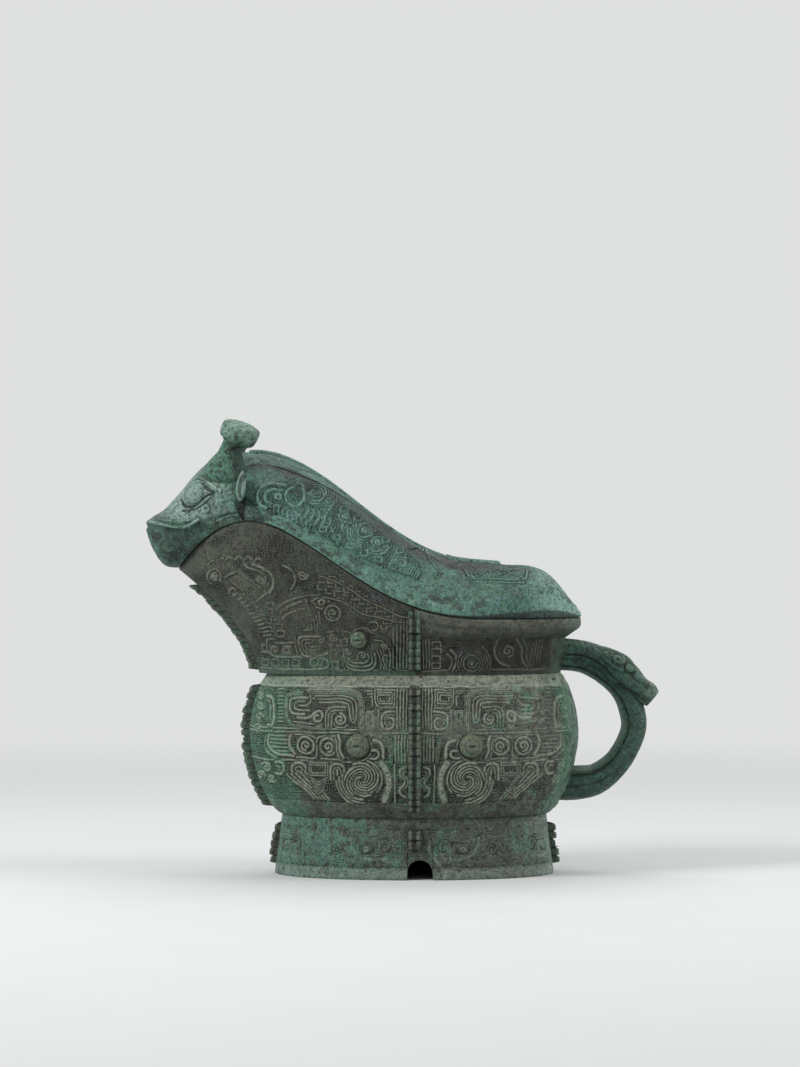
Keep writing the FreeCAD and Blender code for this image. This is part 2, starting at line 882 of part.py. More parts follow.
def ear(carrier):
    """Small leaf-shaped ear that stands out from the near side of the head."""
    ball = Part.makeSphere(1.0)
    matrix = FreeCAD.Matrix()
    matrix.scale(Vector(ear_thickness / 2, ear_reach, ear_height / 2))
    leaf = ball.transformGeometry(matrix)
    z = crest_z + ear_above_crest
    y = ear_surface_y(z)
    leaf.translate(Vector(ear_x, -y, z))
    return leaf.cut(carrier)


def ear_surface_y(z):
    """Half width of the cover where the ear grows out."""
    share, top, middle, bottom, half_width, a, b = head_stations()[0]
    rise = (z - middle) / (top - middle)
    return half_width * (1 - rise**b) ** (1 / a)


def build():
    """All nodes by name."""
    belly = belly_solid(0.0, foot_height, neck_z)
    neck_form = neck_solid(0.0).fuse(collar_solid())
    foot = foot_ring()
    vessel = belly.fuse(neck_form).fuse(foot)
    nodes = {}
    nodes["foot_ring"] = foot
    nodes["belly_bowl"] = belly_bowl(belly)
    nodes["neck_and_spout"] = neck_and_spout(neck_form)
    nodes["handle_loop"] = handle_loop(vessel)
    nodes["handle_head"] = handle_head(vessel, nodes["handle_loop"])
    nodes["spout_flange"] = spout_flange(neck_form)
    nodes["belly_flange_front"] = belly_flange_front(belly)
    nodes["foot_flange_front"] = foot_flange_end(foot, -1)
    nodes["foot_flange_back"] = foot_flange_end(foot, 1)
    neck_top = rim_height(body_mid_x) - flange_end_margin / 2
    neck_rib = side_rib(neck_side, neck_z + flange_end_margin, neck_top).cut(vessel)
    belly_low = foot_height + flange_end_margin + 1
    belly_rib = side_rib(belly_side, belly_low, shoulder_z - flange_end_margin / 2).cut(vessel)
    foot_top = foot_height - foot_flange_top_margin
    nodes["neck_flange_near"] = neck_rib
    nodes["neck_flange_far"] = flip_y(neck_rib)
    nodes["belly_flange_near"] = belly_rib
    nodes["belly_flange_far"] = flip_y(belly_rib)
    nodes["foot_flange_near"] = side_rib(foot_side, broken_flange_bottom, foot_top).cut(foot)
    nodes["foot_flange_far"] = flip_y(side_rib(foot_side, foot_flange_bottom, foot_top)).cut(foot)
    nodes["belly_bosses_near"] = belly_bosses(vessel)
    nodes["belly_bosses_far"] = flip_y(nodes["belly_bosses_near"])
    nodes["neck_boss_near"] = neck_boss(vessel)
    nodes["neck_boss_far"] = flip_y(nodes["neck_boss_near"])
    saddle = cover_block(collar_wire(neck_z), 0.0)
    head_form = head_solid(0.0, 8)
    cover_form = saddle.fuse(head_form)
    nodes["cover_shell"] = cover_shell(saddle)
    nodes["cover_tongue"] = cover_tongue()
    nodes["cover_head"] = cover_head()
    nodes["dorsal_band"] = raised_band(head_back_x, crest_front_x, dorsal_band_width, dorsal_band_height)
    nodes["rear_crest"] = raised_band(crest_front_x, crest_back_x, crest_width, crest_height)
    nodes["eye_near"] = eye(head_form)
    nodes["horn_near"] = horn(cover_form)
    nodes["ear_near"] = ear(cover_form)
    for name in ("eye", "horn", "ear"):
        nodes[name + "_far"] = flip_y(nodes[name + "_near"]).cut(cover_form)
    return nodes


os.makedirs("parts", exist_ok=True)
for node, shape in build().items():
    box = shape.BoundBox
    size = f"{box.XLength:.1f} x {box.YLength:.1f} x {box.ZLength:.1f} mm"
    print(f"{node}: {len(shape.Solids)} solids, {size}, valid {shape.isValid()}")
    shape.exportStep(f"parts/{node}.step")
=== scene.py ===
"""Bronze guang: the look of a covered pouring vessel, dressed over its frame.

Lengths inside the builders are millimetres and turn into metres when a mesh is made.
The spout points along -X, the handle along +X, and the near side is -Y.
"""

from __future__ import annotations

import logging
import math
from dataclasses import dataclass, field
from enum import Enum
from typing import Any, Callable, Sequence

import bpy
import numpy as np
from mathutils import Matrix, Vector

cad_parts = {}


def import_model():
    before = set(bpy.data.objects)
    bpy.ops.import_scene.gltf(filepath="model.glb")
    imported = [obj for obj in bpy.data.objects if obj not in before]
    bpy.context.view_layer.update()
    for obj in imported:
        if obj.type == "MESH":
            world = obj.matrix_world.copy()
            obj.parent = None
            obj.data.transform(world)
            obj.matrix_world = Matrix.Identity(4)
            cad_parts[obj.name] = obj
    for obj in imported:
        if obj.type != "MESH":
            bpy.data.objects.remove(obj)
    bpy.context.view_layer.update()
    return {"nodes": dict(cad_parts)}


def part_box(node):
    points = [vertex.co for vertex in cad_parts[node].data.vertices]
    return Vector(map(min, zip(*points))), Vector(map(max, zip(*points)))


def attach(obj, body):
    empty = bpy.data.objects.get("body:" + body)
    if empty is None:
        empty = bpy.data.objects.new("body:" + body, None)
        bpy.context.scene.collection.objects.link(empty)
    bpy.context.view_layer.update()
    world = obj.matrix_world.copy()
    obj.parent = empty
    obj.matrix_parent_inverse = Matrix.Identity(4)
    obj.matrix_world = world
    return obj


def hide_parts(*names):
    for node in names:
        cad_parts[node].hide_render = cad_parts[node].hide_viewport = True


LOG = logging.getLogger("guang")
MM = 0.001

# Millimetres to a drawing unit on the walls, the roof and the head, and the drawing's middle with its place
WALL_UNIT = 0.572
ROOF_UNIT = 0.577
HEAD_UNIT = 0.5805
DRAWN_X, DRAWN_Y = 400.0, 533.5
VIEW_X = -7.06
VIEW_Z = 199.0

# Thickness of the wall, half sizes of the plan at its levels, reach of the spout, and seam of head and roof
WALL = 3.2
BASE_LENGTH, BASE_WIDTH = 77.5, 51.0
BELLY_LENGTH, BELLY_WIDTH = 96.5, 63.0
NECK_LENGTH, NECK_WIDTH = 86.0, 54.0
RIM_LENGTH, RIM_WIDTH, SPOUT_LENGTH = 98.0, 60.0, 139.7
SEAM_X = -97.0
TUCK_SHARE, TUCK_DROP = 0.9368, 1.2

# Heights over the foot's top, under the belly's top edge, and over it
WIDEST_RISE = 46.5
SHOULDER_DROP = 5.5
RIM_RISE, CREST_RISE, TIP_RISE = 32.5, 88.5, 60.5

# Inset of each row of the rim's rounded band, then the two edges of the cover's side panel over the rim line
RIM_INSETS = (0.8, 0.45, 0.2, 0.08, 0.0, 0.0, 0.0, 0.0, 0.02, 0.06, 0.14, 0.3, 0.6)
PANEL_UPPER = ((-88.0, 21.0), (-80.0, 26.5), (-65.0, 32.0), (-35.0, 36.5), (-5.0, 30.5), (4.5, 27.0))
PANEL_LOWER = ((-88.0, 12.0), (-80.0, 9.5), (-65.0, 10.5), (-35.0, 13.0), (-5.0, 16.0), (4.5, 17.0))

Array = np.ndarray
Points = Sequence[tuple[float, float]]


class Side(Enum):
    """Which side of the plane of symmetry a piece lies on."""

    NEAR = "near"
    FAR = "far"

    @property
    def sign(self) -> float:
        """Direction of the side along Y."""
        return -1.0 if self is Side.NEAR else 1.0


class End(Enum):
    """Which end of the vessel a quarter belongs to."""

    SPOUT = "spout"
    HANDLE = "handle"


def smooth(t: Any) -> Any:
    """Ease from 0 to 1 with level ends."""
    t = np.clip(t, 0.0, 1.0)
    return t * t * (3.0 - 2.0 * t)


def mix(a: Any, b: Any, t: Any) -> Any:
    """Value between a and b."""
    return a + (b - a) * t


def hill(*offsets: Any) -> Any:
    """Bell of height 1 round the place where every offset is 0."""
    return np.exp(-sum(offset**2 for offset in offsets))


def run_along(x: Array, y: Array) -> Array:
    """Distance run so far along a line of points."""
    return np.concatenate([[0], np.cumsum(np.hypot(np.diff(x), np.diff(y)))])


def full_turn(count: int) -> Array:
    """Angles of a whole turn, without its end."""
    return np.linspace(0, 2 * np.pi, count, endpoint=False)


def curve_through(points: Points, x: Any) -> Array:
    """Smooth curve through points with rising x, level beyond its ends.

    Args:
        points: The x and value of each point.
        x: Where the curve is read.

    Returns:
        The curve's values at x.
    """
    xs = np.array([p[0] for p in points], float)
    ys = np.array([p[1] for p in points], float)
    slopes = np.empty_like(ys)
    slopes[1:-1] = (ys[2:] - ys[:-2]) / (xs[2:] - xs[:-2])
    slopes[0] = (ys[1] - ys[0]) / (xs[1] - xs[0])
    slopes[-1] = (ys[-1] - ys[-2]) / (xs[-1] - xs[-2])
    x = np.clip(np.asarray(x, float), xs[0], xs[-1])
    i = np.clip(np.searchsorted(xs, x, side="right") - 1, 0, len(xs) - 2)
    width = xs[i + 1] - xs[i]
    t = (x - xs[i]) / width
    rest = 1.0 - t
    value = (1 + 2 * t) * rest**2 * ys[i] + t**2 * (3 - 2 * t) * ys[i + 1]
    return value + (t * rest**2 * slopes[i] - t**2 * rest * slopes[i + 1]) * width


def cloud(points: Array, scale: float, seed: int) -> Array:
    """Smooth random value from -1 to 1 over space.

    Args:
        points: Places, with three coordinates in the last axis.
        scale: Size of one lump.
        seed: Number that picks the pattern.

    Returns:
        One value per place.
    """
    spread = points / scale
    base = np.floor(spread).astype(np.int64)
    part = spread - base
    part = part * part * (3 - 2 * part)
    total = np.zeros(points.shape[:-1])
    for corner in range(8):
        steps = (corner & 1, corner >> 1 & 1, corner >> 2 & 1)
        key = np.full(total.shape, seed * 974634777, np.int64)
        weight = np.ones(total.shape)
        for axis, (step, prime) in enumerate(zip(steps, (374761393, 668265263, 1610612741))):
            key = key + (base[..., axis] + step) * prime
            weight = weight * (part[..., axis] if step else 1 - part[..., axis])
        key = (key ^ (key >> 13)) * 1274126177
        key = (key ^ (key >> 16)) & 0xFFFFFF
        total += (key / 0x7FFFFF - 1) * weight
    return total


def clouds(points: Array, scale: float, seed: int, layers: int = 3) -> Array:
    """Layered random value from about -1 to 1, each layer finer and weaker."""
    total = np.zeros(points.shape[:-1])
    for layer in range(layers):
        total += cloud(points, scale * 0.5**layer, seed + 17 * layer) * 0.55**layer
    return total / sum(0.55**layer for layer in range(layers))


# Curves of the ornament, in drawing units across and down


def arc(x: float, y: float, radius: float, start: float, stop: float, count: int = 14) -> list:
    """Part of a circle from start to stop degrees, clockwise as seen."""
    angles = np.radians(np.linspace(start, stop, count))
    return [(x + radius * math.cos(a), y + radius * math.sin(a)) for a in angles]


def coil(
    x: float, y: float, radius: float, turns: float, start: float, hand: int = 1, core: float = 0.15
) -> list:
    """Round spiral that closes in from its radius, clockwise as seen for hand 1."""
    count = max(int(turns * 18), 8)
    points = []
    for i in range(count + 1):
        t = i / count
        angle = math.radians(start) + hand * 2 * math.pi * turns * t
        r = radius * (1 - (1 - core) * t)
        points.append((x + r * math.cos(angle), y + r * math.sin(angle)))
    return points


def fret(x: float, y: float, across: float, down: float, turns: int, pitch: float, hand: int = 1) -> list:
    """Square spiral round (x, y), from its outer corner inwards."""
    points = []
    for i in range(4 * turns + 1):
        side, lap = i % 4, i // 4
        left = across - pitch * lap
        top = down - pitch * lap
        corner = ((-left - (pitch if lap else 0), -top), (left, -top), (left, top), (-left, top))[side]
        points.append((x + hand * corner[0], y + corner[1]))
    return points


def soften(points: Points, rounds: int = 2) -> list:
    """Open line with its corners cut round."""
    line = [tuple(p) for p in points]
    for _ in range(rounds):
        cut = [line[0]]
        for a, b in zip(line, line[1:]):
            cut.append((mix(a[0], b[0], 0.25), mix(a[1], b[1], 0.25)))
            cut.append((mix(a[0], b[0], 0.75), mix(a[1], b[1], 0.75)))
        cut.append(line[-1])
        line = cut
    return line


def same_place(points: Array) -> Array:
    """Places that are drawn in the wall's own millimetres."""
    return points


class Board:
    """Relief drawn on a wall, kept as heights in millimetres over the unrolled wall."""

    soft = 0.34

    def __init__(
        self, left: float, right: float, low: float, high: float, place: Callable[[Array], Array],
        step: float = 0.25,
    ) -> None:
        """Lay out an empty board.

        Args:
            left: Start of the wall, along it.
            right: End of the wall, along it.
            low: Start of the wall, up it.
            high: End of the wall, up it.
            place: Turns drawing units across and down into places on the wall.
            step: Size of one cell.
        """
        self.left = left
        self.low = low
        self.place = place
        self.step = step
        shape = (int((high - low) / step) + 2, int((right - left) / step) + 2)
        self.cover = np.zeros(shape)
        self.raised = np.zeros(shape)
        self.incised = np.zeros(shape)
        self.lift = np.zeros(shape)

    def _near(self, line: Array, reach: float) -> tuple[slice, slice, Array] | None:
        """Cells near a line and their distance from it."""
        rows, cols = self.cover.shape
        low = ((line.min(0) - reach - (self.left, self.low)) / self.step).astype(int)
        high = ((line.max(0) + reach - (self.left, self.low)) / self.step).astype(int) + 2
        c0, r0 = max(low[0], 0), max(low[1], 0)
        c1, r1 = min(high[0], cols), min(high[1], rows)
        if c1 <= c0 or r1 <= r0:
            return None
        s = self.left + self.step * np.arange(c0, c1)
        h = self.low + self.step * np.arange(r0, r1)
        far = np.full((r1 - r0, c1 - c0), 2.0 * reach)
        for a, b in zip(line, line[1:]):
            i0, i1 = np.searchsorted(s, [min(a[0], b[0]) - reach, max(a[0], b[0]) + reach])
            j0, j1 = np.searchsorted(h, [min(a[1], b[1]) - reach, max(a[1], b[1]) + reach])
            if i1 <= i0 or j1 <= j0:
                continue
            run = b - a
            ds = s[i0:i1][None, :] - a[0]
            dh = h[j0:j1][:, None] - a[1]
            t = np.clip((ds * run[0] + dh * run[1]) / max(run @ run, 1e-9), 0, 1)
            away = np.hypot(ds - t * run[0], dh - t * run[1])
            np.minimum(far[j0:j1, i0:i1], away, out=far[j0:j1, i0:i1])
        return slice(r0, r1), slice(c0, c1), far

    def ribbon(self, points: Points, width: float, height: float = 0.6, lines: Sequence[float] = ()) -> None:
        """Raise a flat band along a line, with grooves at offsets from its middle."""
        found = self._near(self.place(np.array(points, float)), width / 2 + 1.0)
        if found is None:
            return
        rows, cols, far = found
        body = smooth((width / 2 + self.soft - far) / (2 * self.soft))
        moat = smooth((width / 2 + 0.85 - far) / 0.3)
        self.cover[rows, cols] = np.maximum(self.cover[rows, cols], moat)
        below = self.raised[rows, cols] * (1 - moat) - 0.3 * moat
        self.raised[rows, cols] = mix(below, height, body)
        groove = np.zeros_like(far)
        for offset in lines:
            groove = np.maximum(groove, smooth(1.35 - np.abs(far - offset) / 0.3))
        self.incised[rows, cols] = mix(self.incised[rows, cols], 0.95 * groove, body)

    def thread(self, points: Points, width: float = 0.75, height: float = 0.42) -> None:
        """Raise a thin line."""
        self.ribbon(points, width, height)

    def band(self, points: Points, width: float, height: float = 0.6, lines: Sequence[float] = ()) -> None:
        """Raise a flat band with its corners cut round."""
        self.ribbon(soften(points), width, height, lines)

    def line(self, points: Points, width: float = 0.75, height: float = 0.42) -> None:
        """Raise a thin line with its corners cut round."""
        self.ribbon(soften(points), width, height)

    def level(self, y: float, start: float, stop: float, width: float, height: float) -> None:
        """Raise a thin line at one level."""
        self.ribbon([(x, y) for x in np.linspace(start, stop, 40)], width, height)

    def uprights(self, places: Sequence[float], top: float, bottom: float) -> None:
        """Raise a row of upright thin lines."""
        for x in places:
            self.thread([(x, top), (x, bottom)], 0.8)

    def cut(self, points: Points, width: float = 0.7, depth: float = 0.5) -> None:
        """Sink a thin line."""
        found = self._near(self.place(np.array(points, float)), width / 2 + 0.8)
        if found is None:
            return
        rows, cols, far = found
        groove = depth * smooth((width / 2 + self.soft - far) / (2 * self.soft))
        self.incised[rows, cols] = np.maximum(self.incised[rows, cols], groove)

    def area(self, points: Points, height: float, soft: float = 1.0, plain: bool = False) -> None:
        """Lift or sink a closed shape, and take the ground off it where it is plain."""
        line = self.place(np.array(list(points) + [points[0]], float))
        found = self._near(line, soft + 1.0)
        if found is None:
            return
        rows, cols, far = found
        s = (self.left + self.step * np.arange(cols.start, cols.stop))[None, :]
        h = (self.low + self.step * np.arange(rows.start, rows.stop))[:, None]
        inside = np.zeros(far.shape, bool)
        for a, b in zip(line, line[1:]):
            crosses = (a[1] > h) != (b[1] > h)
            at = a[0] + (h - a[1]) / ((b[1] - a[1]) or 1e-9) * (b[0] - a[0])
            inside ^= crosses & (s < at)
        share = smooth(0.5 + np.where(inside, far, -far) / (2 * soft))
        self.lift[rows, cols] = mix(self.lift[rows, cols], height, share)
        if plain:
            self.cover[rows, cols] = np.maximum(self.cover[rows, cols], share)

    def read(self, s: Array, h: Array) -> tuple[Array, Array, Array, Array]:
        """Cover, raised height, incised depth and lift at places on the wall."""
        rows, cols = self.cover.shape
        x = np.clip((s - self.left) / self.step, 0, cols - 1.001)
        y = np.clip((h - self.low) / self.step, 0, rows - 1.001)
        i, j = x.astype(int), y.astype(int)
        fx, fy = x - i, y - j
        found = []
        for layer in (self.cover, self.raised, self.incised, self.lift):
            low = mix(layer[j, i], layer[j, i + 1], fx)
            high = mix(layer[j + 1, i], layer[j + 1, i + 1], fx)
            found.append(mix(low, high, fy))
        return tuple(found)


def thunder_ground(s: Array, h: Array, across: float = 5.6, up: float = 4.9, pitch: float = 1.36) -> Array:
    """Ground of small square spirals in staggered cells.

    Args:
        s: Places along the wall.
        h: Places up the wall.
        across: Length of a cell.
        up: Height of a cell.
        pitch: Distance between neighbouring lines.

    Returns:
        Height from -0.5, in a groove, to 0, on a line.
    """
    row = np.floor(h / up)
    shift = s + across * 0.5 * (row % 2) + 0.35 * np.sin(h * 0.9)
    column = np.floor(shift / across)
    u = (shift / across - column - 0.5) * across
    v = (h / up - row - 0.5) * up
    u = np.where((column + row) % 2 > 0.5, -u, u)
    tall = across / up
    ring = np.maximum(np.abs(u), np.abs(v) * tall)
    sector = np.where(np.abs(u) > np.abs(v) * tall, np.where(u > 0, 0.0, 0.5), np.where(v > 0, 0.25, 0.75))
    wave = np.cos(2 * np.pi * (ring / pitch - sector))
    return -0.25 + 0.25 * np.clip(wave * 1.6, -1, 1)


def distort(s: Array, h: Array, points: Array, seed: int) -> tuple[Array, Array]:
    """Slightly uneven places, as a hand-cut mould gives."""
    return s + 0.45 * cloud(points, 7.0, seed), h + 0.45 * cloud(points, 7.0, seed + 5)


# Meshes


def outward_of(grid: Array) -> Array:
    """Unit normals of a grid of points, by its two directions."""
    along = np.gradient(grid, axis=1)
    up = np.gradient(grid, axis=0)
    normal = np.cross(along, up)
    length = np.linalg.norm(normal, axis=-1, keepdims=True)
    return normal / np.maximum(length, 1e-9)


@dataclass
class MeshParts:
    """Faces and attributes of one mesh, gathered before Blender makes it."""

    verts: list[Array] = field(default_factory=list)
    loops: list[Array] = field(default_factory=list)
    sizes: list[Array] = field(default_factory=list)
    uvs: list[Array] = field(default_factory=list)
    marks: dict[str, list[Array]] = field(default_factory=dict)
    count: int = 0

    def add_points(self, points: Array, **marks: Array | float) -> int:
        """Add points with their marks and return the first one's number."""
        flat = points.reshape(-1, 3)
        self.verts.append(flat)
        for name in ("relief", "moss", "pale"):
            value = marks.get(name, 0.0)
            spread = np.broadcast_to(np.asarray(value, float), points.shape[:-1])
            self.marks.setdefault(name, []).append(spread.reshape(-1))
        first = self.count
        self.count += len(flat)
        return first

    def add_faces(self, corners: Array, uvs: Array) -> None:
        """Add faces that all have the same number of corners."""
        self.loops.append(corners.reshape(-1))
        self.sizes.append(np.full(len(corners), corners.shape[1]))
        self.uvs.append(uvs.reshape(-1, 2))

    def add_grid(
        self, first: int, rows: int, cols: int, window: tuple[float, float, float, float], flip: bool
    ) -> None:
        """Add the quads of a grid, with its coordinates spread over a window of the map."""
        i, j = np.meshgrid(np.arange(rows - 1), np.arange(cols - 1), indexing="ij")
        i, j = i.ravel(), j.ravel()
        steps = [(0, 0), (0, 1), (1, 1), (1, 0)]
        if flip:
            steps.reverse()
        corners = np.stack([first + (i + a) * cols + j + b for a, b in steps], 1)
        u0, v0, u1, v1 = window
        across = [mix(u0, u1, (j + b) / (cols - 1)) for _, b in steps]
        up = [mix(v0, v1, (i + a) / (rows - 1)) for a, _ in steps]
        self.add_faces(corners, np.stack([np.stack(across, 1), np.stack(up, 1)], 2))

    def build(self, name: str) -> bpy.types.Object:
        """Make the mesh object."""
        verts = np.concatenate(self.verts) * MM
        loops = np.concatenate(self.loops)
        sizes = np.concatenate(self.sizes)
        mesh = bpy.data.meshes.new(name)
        mesh.vertices.add(len(verts))
        mesh.vertices.foreach_set("co", verts.reshape(-1).astype(np.float32))
        mesh.loops.add(len(loops))
        mesh.loops.foreach_set("vertex_index", loops.astype(np.int32))
        mesh.polygons.add(len(sizes))
        starts = np.concatenate([[0], np.cumsum(sizes)[:-1]])
        mesh.polygons.foreach_set("loop_start", starts.astype(np.int32))
        mesh.update(calc_edges=True)
        mesh.polygons.foreach_set("use_smooth", np.ones(len(sizes), bool))
        layer = mesh.uv_layers.new(name="OFBake")
        layer.data.foreach_set("uv", np.concatenate(self.uvs).reshape(-1).astype(np.float32))
        for key, values in self.marks.items():
            mark = mesh.attributes.new(key, "FLOAT", "POINT")
            mark.data.foreach_set("value", np.concatenate(values).astype(np.float32))
        mesh.validate()
        mesh.update()
        obj = bpy.data.objects.new(name, mesh)
        bpy.context.scene.collection.objects.link(obj)
        return obj


def upright(piece: bpy.types.Object) -> bpy.types.Object:
    """Turn the faces of a closed piece outwards."""
    mesh = piece.data
    centres = np.empty(len(mesh.polygons) * 3, np.float32)
    normals = np.empty(len(mesh.polygons) * 3, np.float32)
    areas = np.empty(len(mesh.polygons), np.float32)
    mesh.polygons.foreach_get("center", centres)
    mesh.polygons.foreach_get("normal", normals)
    mesh.polygons.foreach_get("area", areas)
    volume = (centres.reshape(-1, 3) * normals.reshape(-1, 3)).sum(1) @ areas
    if volume < 0:
        mesh.flip_normals()
    return piece


def wall_piece(name: str, outer: Array, inner: Array, every: int, **marks: Array | float) -> bpy.types.Object:
    """Closed wall between a fine outer grid and a coarse inner grid.

    Args:
        name: Name of the piece.
        outer: Points of the outer face, rows by columns.
        inner: Points of the inner face, at every so many rows and columns of the outer one.
        every: How many outer steps one inner step spans.
        marks: Values of the outer points that the finish reads.

    Returns:
        The piece.
    """
    rows, cols = outer.shape[:2]
    low_rows, low_cols = inner.shape[:2]
    parts = MeshParts()
    first = parts.add_points(outer, **marks)
    parts.add_grid(first, rows, cols, (0.005, 0.235, 0.995, 0.995), False)
    back = parts.add_points(inner)
    parts.add_grid(back, low_rows, low_cols, (0.005, 0.005, 0.995, 0.175), True)
    outer_ids = first + np.arange(rows * cols).reshape(rows, cols)
    inner_ids = back + np.arange(low_rows * low_cols).reshape(low_rows, low_cols)

    def border(outer_line: Array, inner_line: Array, base: float, turn: bool, own: bool) -> None:
        """Close one side between the two faces, with points of its own where the seam must not shade."""
        if own:
            a = parts.add_points(outer.reshape(-1, 3)[outer_line - first])
            b = parts.add_points(inner.reshape(-1, 3)[inner_line - back])
            outer_line = a + np.arange(len(outer_line))
            inner_line = b + np.arange(len(inner_line))
        count = len(inner_line) - 1
        k = np.arange(count)[:, None]
        fine = k * every + np.arange(every + 1)[None, :]
        ring = np.concatenate([outer_line[fine], inner_line[k + 1], inner_line[k]], 1)
        u_outer = fine / (count * every)
        u = np.concatenate([u_outer, (k + 1) / count, k / count], 1)
        v = np.concatenate([np.full(fine.shape, base + 0.006), np.full((count, 2), base)], 1)
        uv = np.stack([0.005 + 0.99 * u, v], 2)
        if turn:
            ring, uv = ring[:, ::-1], uv[:, ::-1]
        parts.add_faces(ring, uv)

    border(outer_ids[0], inner_ids[0], 0.185, True, False)
    border(outer_ids[-1], inner_ids[-1], 0.197, False, False)
    border(outer_ids[:, 0], inner_ids[:, 0], 0.209, False, True)
    border(outer_ids[:, -1], inner_ids[:, -1], 0.221, True, True)
    return upright(parts.build(name))


def loft_piece(name: str, rings: Array, **marks: Array | float) -> bpy.types.Object:
    """Closed form through a row of rings, each an open list of points round the section.

    Args:
        name: Name of the piece.
        rings: Points, rings by points round.
        marks: Values of the points that the finish reads.

    Returns:
        The piece.
    """
    rows, cols = rings.shape[:2]
    parts = MeshParts()
    ids = np.arange(rows * cols).reshape(rows, cols)
    first = parts.add_points(rings, **marks)
    ids = np.concatenate([ids, ids[:, :1]], 1) + first
    i, j = np.meshgrid(np.arange(rows - 1), np.arange(cols), indexing="ij")
    i, j = i.ravel(), j.ravel()
    steps = [(0, 0), (0, 1), (1, 1), (1, 0)]
    corners = np.stack([ids[i + a, j + b] for a, b in steps], 1)
    across = np.stack([0.005 + 0.99 * (j + b) / cols for _, b in steps], 1)
    up = np.stack([0.06 + 0.88 * (i + a) / (rows - 1) for a, _ in steps], 1)
    parts.add_faces(corners, np.stack([across, up], 2))
    around = np.arange(cols)
    turn = 2 * np.pi * around / cols
    for row, centre_v, turned in ((0, 0.028, True), (rows - 1, 0.972, False)):
        middle = parts.add_points(rings[row].mean(0)[None, :])
        tri = np.stack([np.full(cols, middle), ids[row, around], ids[row, around + 1]], 1)
        spot = np.array([0.03 if row == 0 else 0.09, centre_v])
        rim = spot + 0.022 * np.stack([np.cos(turn), np.sin(turn)], 1)
        uv = np.stack([np.broadcast_to(spot, rim.shape), rim, np.roll(rim, -1, 0)], 1)
        if turned:
            tri, uv = tri[:, ::-1], uv[:, ::-1]
        parts.add_faces(tri, uv)
    return upright(parts.build(name))


# Finishes


class Sock:
    """A shader socket that takes part in expressions."""

    def __init__(self, tree: bpy.types.NodeTree, link: bpy.types.NodeSocket) -> None:
        """Hold a socket of a node tree."""
        self.tree = tree
        self.link = link

    def _math(self, operation: str, *values: Any, clamp: bool = False) -> Sock:
        """Result of a Math node."""
        return node(
            self.tree, "ShaderNodeMath", {"operation": operation, "use_clamp": clamp},
            dict(enumerate(values)),
        )

    def __add__(self, other: Any) -> Sock:
        """Sum."""
        return self._math("ADD", self, other)

    __radd__ = __add__

    def __sub__(self, other: Any) -> Sock:
        """Difference."""
        return self._math("SUBTRACT", self, other)

    def __rsub__(self, other: Any) -> Sock:
        """Difference from a number."""
        return self._math("SUBTRACT", other, self)

    def __mul__(self, other: Any) -> Sock:
        """Product."""
        return self._math("MULTIPLY", self, other)

    __rmul__ = __mul__

    def __neg__(self) -> Sock:
        """Opposite."""
        return self._math("MULTIPLY", self, -1.0)

    def clamp(self) -> Sock:
        """Value held between 0 and 1."""
        return self._math("ADD", self, 0.0, clamp=True)

    def ramp(self, low: float, high: float) -> Sock:
        """Smooth rise from 0 at low to 1 at high."""
        settings = {"interpolation_type": "SMOOTHSTEP"}
        return node(
            self.tree, "ShaderNodeMapRange", settings, {"Value": self, "From Min": low, "From Max": high}
        )

    def shifted(self, other: Any) -> Sock:
        """Vector plus another."""
        return node(self.tree, "ShaderNodeVectorMath", {"operation": "ADD"}, {0: self, 1: other})


def node(tree: bpy.types.NodeTree, kind: str, settings: dict, inputs: dict, output: str | int = 0) -> Sock:
    """Add a node.

    Args:
        tree: Node tree of the material.
        kind: Type of the node.
        settings: Properties, set first.
        inputs: Values or sockets by input name or number.
        output: Which output to return.

    Returns:
        The output socket.
    """
    made = tree.nodes.new(kind)
    for key, value in settings.items():
        setattr(made, key, value)
    for key, value in inputs.items():
        target = made.inputs[key]
        if isinstance(value, Sock):
            tree.links.new(value.link, target)
        else:
            target.default_value = value
    return Sock(tree, made.outputs[output])


def blend(tree: bpy.types.NodeTree, factor: Any, a: Any, b: Any) -> Sock:
    """Colour between a and b."""
    settings = {"data_type": "RGBA", "clamp_factor": True}
    return node(tree, "ShaderNodeMix", settings, {0: factor, 6: _rgba(a), 7: _rgba(b)}, 2)


def _rgba(value: Any) -> Any:
    """Colour with alpha from a hex string, or the value itself."""
    return tint(value) if isinstance(value, str) else value


def tint(code: str) -> tuple[float, float, float, float]:
    """Linear colour of a hex code."""
    parts = [int(code[i : i + 2], 16) / 255 for i in (0, 2, 4)]
    linear = [c / 12.92 if c <= 0.04045 else ((c + 0.055) / 1.055) ** 2.4 for c in parts]
    return (*linear, 1.0)


